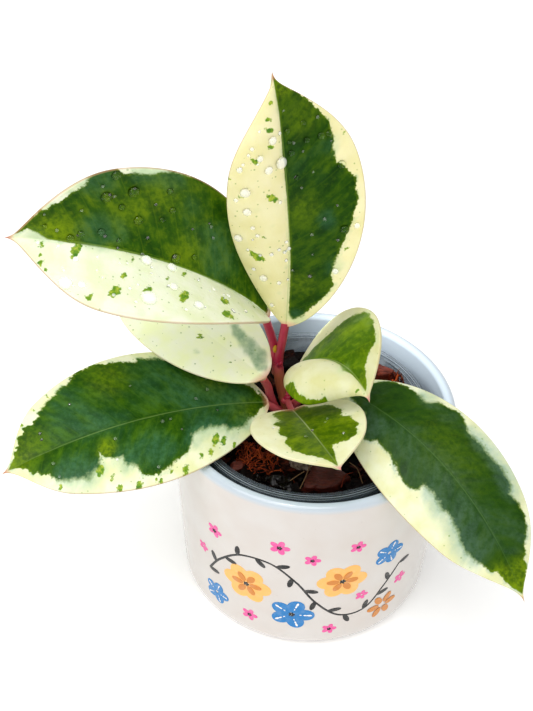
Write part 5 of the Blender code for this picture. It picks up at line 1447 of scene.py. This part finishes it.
    # The whole: a fine midrib, pink where the stalk runs in and at the tip, a tan edge, a paler underside.
    rib = add(tree, "ShaderNodeMapRange", {
        0: off_rib, 1: 0.08, 2: tissue.rib_width, 3: tissue.rib_share, 4: 0.0})
    rib_fade = add(tree, "ShaderNodeMapRange", {
        0: marks["from_tip"]["Fac"], 1: 4.0, 2: 30.0, 3: 0.2, 4: 1.0})
    rib_line = add(tree, "ShaderNodeMath", {0: rib, 1: rib_fade}, operation="MULTIPLY")
    stalk_end = add(tree, "ShaderNodeMapRange", {0: along["X"], 1: 0.3, 2: 3.0, 3: 0.7, 4: 0.0})
    tip = add(tree, "ShaderNodeMapRange", {0: marks["from_tip"]["Fac"], 1: 0.6, 2: 3.0, 3: 0.9, 4: 0.0})
    edge = add(tree, "ShaderNodeMapRange", {
        0: marks["from_edge"]["Fac"], 1: 0.05, 2: 0.4, 3: tissue.edge_share, 4: 0.0})
    below = add(tree, "ShaderNodeMath", {0: marks["under"]["Fac"], 1: 0.4}, operation="MULTIPLY")
    skin = cream
    for share, colour in ((green_share, green), (rib_line, tissue.rib), (stalk_end, "#D08078"),
                          (tip, tissue.tip), (edge, "#BC8F72"), (below, "#C2CB98")):
        skin = add(tree, "ShaderNodeMix", {0: share, 6: skin, 7: colour}, data_type="RGBA")
    wax = add(tree, "ShaderNodeMapRange", {0: cloud, 1: 0.3, 2: 0.7, 3: 0.34, 4: 0.46})
    grain = add(tree, "ShaderNodeTexNoise", {"Vector": flat, "Scale": 1 / 1.1, "Detail": 3.0})
    bump = add(tree, "ShaderNodeBump", {"Height": grain, "Strength": 0.3, "Distance": 0.25 * MM})
    feed(tree, shader, {
        "Base Color": skin, "Roughness": wax, "Normal": bump, "Specular IOR Level": 0.16,
        "Subsurface Weight": 0.08, "Subsurface Radius": (0.8, 1.0, 0.4), "Subsurface Scale": 1.5 * MM})
    return material


for name, blade in BLADES.items():
    rows, columns = (YOUNG_ROWS, YOUNG_COLUMNS) if "young" in name else (BLADE_ROWS, BLADE_COLUMNS)
    piece = make_blade(name, blade, PATTERNS[name], rows, columns)
    piece.data.materials.append(leaf_skin("waxy_" + name, TISSUES[name]))
    finish_piece(piece, name, name)


# Water drops
# Spray that has beaded on the wax of the two upper leaves, and a few drops on the lower ones. Each is a
# clear dome that the wax holds nearly round, set a little into the blade's quilted face.

DROP_HEIGHT = 0.62
DROP_SINK = 0.2
DROP_LIFT = 0.1
DROPS = {
    "leaf_top": (
        (0.69, 0.09, 2.0), (0.61, 0.7, 1.7), (0.68, 0.33, 1.4), (0.41, 0.86, 1.5), (0.23, 0.57, 1.4),
        (0.53, 0.67, 1.4), (0.78, 0.27, 1.4), (0.73, 0.5, 1.1), (0.7, 0.83, 1.0), (0.46, 0.6, 0.8),
        (0.77, 0.7, 0.7), (0.58, 0.84, 0.8), (0.21, 0.23, 0.8), (0.1, 0.6, 0.9), (0.42, -0.9, 1.0),
        (0.26, -0.77, 1.1), (0.79, -0.1, 0.9), (0.75, -0.1, 0.8), (0.71, -0.1, 1.1), (0.74, -0.37, 1.0),
        (0.74, -0.6, 1.2), (0.74, -0.73, 1.1), (0.63, -0.74, 1.4), (0.8, -0.43, 0.9), (0.62, -0.13, 0.8),
        (0.41, -0.74, 1.5)),
    "leaf_upper_left": (
        (0.81, 0.83, 2.1), (0.76, 0.7, 1.3), (0.55, 0.66, 2.7), (0.55, 0.08, 1.9), (0.46, 0.08, 1.7),
        (0.46, 0.4, 1.5), (0.38, 0.67, 1.8), (0.3, 0.23, 0.7), (0.24, 0.27, 1.0), (0.43, 0.77, 0.7),
        (0.78, 0.3, 1.0), (0.72, -0.63, 1.8), (0.65, -0.7, 1.8), (0.61, -0.37, 1.5), (0.71, -0.17, 1.2),
        (0.65, -0.1, 0.8), (0.67, -0.5, 1.1), (0.55, -0.77, 1.1), (0.52, -0.57, 1.1), (0.54, -0.43, 1.0),
        (0.39, -0.17, 1.0), (0.45, -0.07, 1.6), (0.8, -0.05, 1.3), (0.88, -0.37, 0.8), (0.71, -0.92, 1.6),
        (0.77, -0.12, 1.2)),
    "leaf_lower_left": (
        (0.6, 0.2, 0.7), (0.42, 0.13, 0.7), (0.39, 0.12, 0.6), (0.7, -0.57, 0.5), (0.49, 0.77, 0.7)),
    "leaf_young_front": (
        (0.4, 0.37, 0.6), (0.43, 0.3, 0.5), (0.44, 0.02, 0.5)),
}
FINE_DROPS = {"leaf_top": 34, "leaf_upper_left": 46, "leaf_lower_left": 12, "leaf_young_front": 3}
FINE_DROP_SIZES = (0.35, 0.7)
FINE_PAINTED_GLOW = 0.2

# A dome on each point of the host, as wide as the point's size and turned to where it faces. A sphere's
# lower half is pressed flat, so that a dome has a closed floor just inside the leaf.
tree, inputs = new_tree("water_drops", [
    ("Height", "Float", DROP_HEIGHT), ("Sink", "Float", DROP_SINK), ("Material", "Material", None)])
ball = add(tree, "GeometryNodeMeshUVSphere", {"Segments": 20, "Rings": 12, "Radius": 1.0})
spot = add(tree, "GeometryNodeInputPosition")
parts = add(tree, "ShaderNodeSeparateXYZ", {0: spot}).outputs
floor_level = add(tree, "ShaderNodeMath", {0: inputs["Sink"], 1: -1.0}, operation="MULTIPLY")
pressed = add(tree, "ShaderNodeMath", {0: parts["Z"], 1: inputs["Height"]}, operation="MULTIPLY")
kept_up = add(tree, "ShaderNodeMath", {0: pressed, 1: floor_level}, operation="MAXIMUM")
new_spot = add(tree, "ShaderNodeCombineXYZ", {"X": parts["X"], "Y": parts["Y"], "Z": kept_up})
domed = add(tree, "GeometryNodeSetPosition", {"Geometry": ball, "Position": new_spot})
crown_share = add(tree, "ShaderNodeMath", {0: parts["Z"], 1: inputs["Height"]}, operation="DIVIDE")
dome = add(tree, "GeometryNodeStoreNamedAttribute", {
    "Geometry": domed, "Name": "crown", "Value": crown_share}, data_type="FLOAT", domain="POINT")
facing = add(tree, "GeometryNodeInputNamedAttribute", {"Name": "facing"}, data_type="FLOAT_VECTOR")
turned_up = add(tree, "FunctionNodeAlignRotationToVector", {"Vector": facing}, axis="Z")
width = add(tree, "GeometryNodeInputNamedAttribute", {"Name": "size"}, data_type="FLOAT")
beads = add(tree, "GeometryNodeInstanceOnPoints", {
    "Points": inputs["Geometry"], "Instance": dome, "Rotation": turned_up,
    "Scale": width})
smooth = add(tree, "GeometryNodeSetShadeSmooth", {"Geometry": beads})
drop_tree = end_tree(tree, smooth, inputs["Material"])

# Clean water: clear and mirror smooth, so each drop shows a bright spot and bends the leaf's colour. Its
# foot is painted dark, for the shade where light leaves the drop sideways. Over cream its crown is painted
# milky white, for the light that it gathers there. The lamps shine straight through it, because a drop
# gathers light on the leaf where plain glass would shade it.
water, tree, shader = new_material("clear_water")
crown = add(tree, "ShaderNodeAttribute", attribute_name="crown").outputs["Fac"]
painted_glow = add(tree, "ShaderNodeAttribute", attribute_name="painted_glow").outputs["Fac"]
ring = add(tree, "ShaderNodeValToRGB", {"Fac": crown}, stops=[
    (0.0, "#34442A"), (0.4, "#C8D2BC"), (0.7, "#FFFFFF")])
ring_gone = add(tree, "ShaderNodeMath", {0: painted_glow, 1: 0.75}, operation="MULTIPLY")
ring = add(tree, "ShaderNodeMix", {0: ring_gone, 6: ring, 7: "#FFFFFF"}, data_type="RGBA")
gathered = add(tree, "ShaderNodeMapRange", {0: crown, 1: 0.1, 2: 0.7, 3: 0.12, 4: 0.5})
painted_glow_share = add(tree, "ShaderNodeMath", {0: gathered, 1: painted_glow}, operation="MULTIPLY")
clearness = add(tree, "ShaderNodeMath", {0: 1.0, 1: painted_glow_share}, operation="SUBTRACT")
feed(tree, shader, {
    "Base Color": ring, "Transmission Weight": clearness, "IOR": 1.33, "Roughness": 0.02})
clear = add(tree, "ShaderNodeBsdfTransparent")
lamp_ray = add(tree, "ShaderNodeLightPath").outputs["Is Shadow Ray"]
lit_through = add(tree, "ShaderNodeMixShader", {0: lamp_ray, 1: shader, 2: clear})
feed(tree, tree.nodes["Material Output"], {"Surface": lit_through})

for name, drops in DROPS.items():
    blade = BLADES[name]
    luck = random.Random(len(name) + len(drops))
    fine = [(luck.uniform(0.15, 0.9), luck.uniform(-0.85, 0.85), luck.uniform(*FINE_DROP_SIZES))
            for _ in range(FINE_DROPS[name])]
    spots, sizes, facings, painted_glow = [], [], [], []
    for t, v, radius in (*drops, *fine):
        near_t, near_v = np.array([t - 0.01, t, t + 0.01]), np.array([v - 0.02, v, v + 0.02])
        face, normal, _ = blade_face(blade, near_t, near_v)
        spots.append(((face[1, 1] + DROP_LIFT * normal[1, 1]) * MM).tolist())
        green, _ = green_depth(blade, PATTERNS[name], *flat_place(blade, near_t[1:2], near_v[1:2]))
        # Over cream, and a little for fine drops over green, the crown is painted with a milky glow.
        over_green = 0.0 if radius > FINE_DROP_SIZES[1] else FINE_PAINTED_GLOW
        painted_glow.append(1.0 if green[0] < 0 else over_green)
        facings.append(normal[1, 1].tolist())
        sizes.append(radius * MM)
    host = bpy.data.meshes.new("drops_" + name)
    host.from_pydata(spots, [], [])
    host.attributes.new("size", "FLOAT", "POINT").data.foreach_set("value", sizes)
    host.attributes.new("painted_glow", "FLOAT", "POINT").data.foreach_set("value", painted_glow)
    upwards = np.array(facings).ravel()
    host.attributes.new("facing", "FLOAT_VECTOR", "POINT").data.foreach_set("vector", upwards)
    beads_piece = made_by(drop_tree, "drops_on_" + name, host, {
        "Height": DROP_HEIGHT, "Sink": DROP_SINK, "Material": water})
    finish_piece(beads_piece, name)


# Floor and light
# A plain white sheet under one broad soft light from above and in front, as for a catalogue picture. The
# sheet is lit a little from below and the world fills the shadows, so only a faint one lies at the foot.

FLOOR_REACH = 4

sheet = bmesh.new()
bmesh.ops.create_grid(sheet, x_segments=1, y_segments=1, size=FLOOR_REACH)
floor = add_object("floor", mesh_of("floor", sheet))
paper, tree, shader = new_material("matt_white_paper")
feed(tree, shader, {
    "Base Color": "#FFFFFF", "Roughness": 0.9, "Emission Color": "#FFFFFF", "Emission Strength": 0.12})
floor.data.materials.append(paper)

# Each light: where it stands, where it points, how wide it is and its power in watts. The last is a small
# one above the pot's mouth, for the light that the white wall passes on under the leaves.
LIGHTS = {
    "softbox": ((-0.22, -0.46, 1.02), (0, 0, 0.08), 1.0, 5.6),
    "glint": ((-0.12, -0.2, 0.9), (0, 0, 0.08), 0.06, 0.5),
    "pot_fill": ((0.0, 0.026, 0.1), (0.047, 0.018, 0.072), 0.02, 0.012),
}
for name, (spot, target, size, power) in LIGHTS.items():
    lamp = bpy.data.objects.new(name, bpy.data.lights.new(name, "AREA"))
    stage_scene.collection.objects.link(lamp)
    lamp.data.shape = "DISK"
    lamp.data.size = size
    lamp.data.energy = power
    lamp.location = spot
    lamp.visible_camera = False
    lamp.visible_glossy = name != "pot_fill"
    lamp.rotation_euler = (Vector(target) - Vector(spot)).to_track_quat("-Z", "Y").to_euler()

world = bpy.data.worlds.new("studio")
stage_scene.world = world
world.use_nodes = True
feed(world.node_tree, world.node_tree.nodes["Background"], {"Color": "#FFFFFF", "Strength": 0.6})
stage_scene.view_settings.view_transform = "Standard"
stage_scene.view_settings.look = "Medium High Contrast"
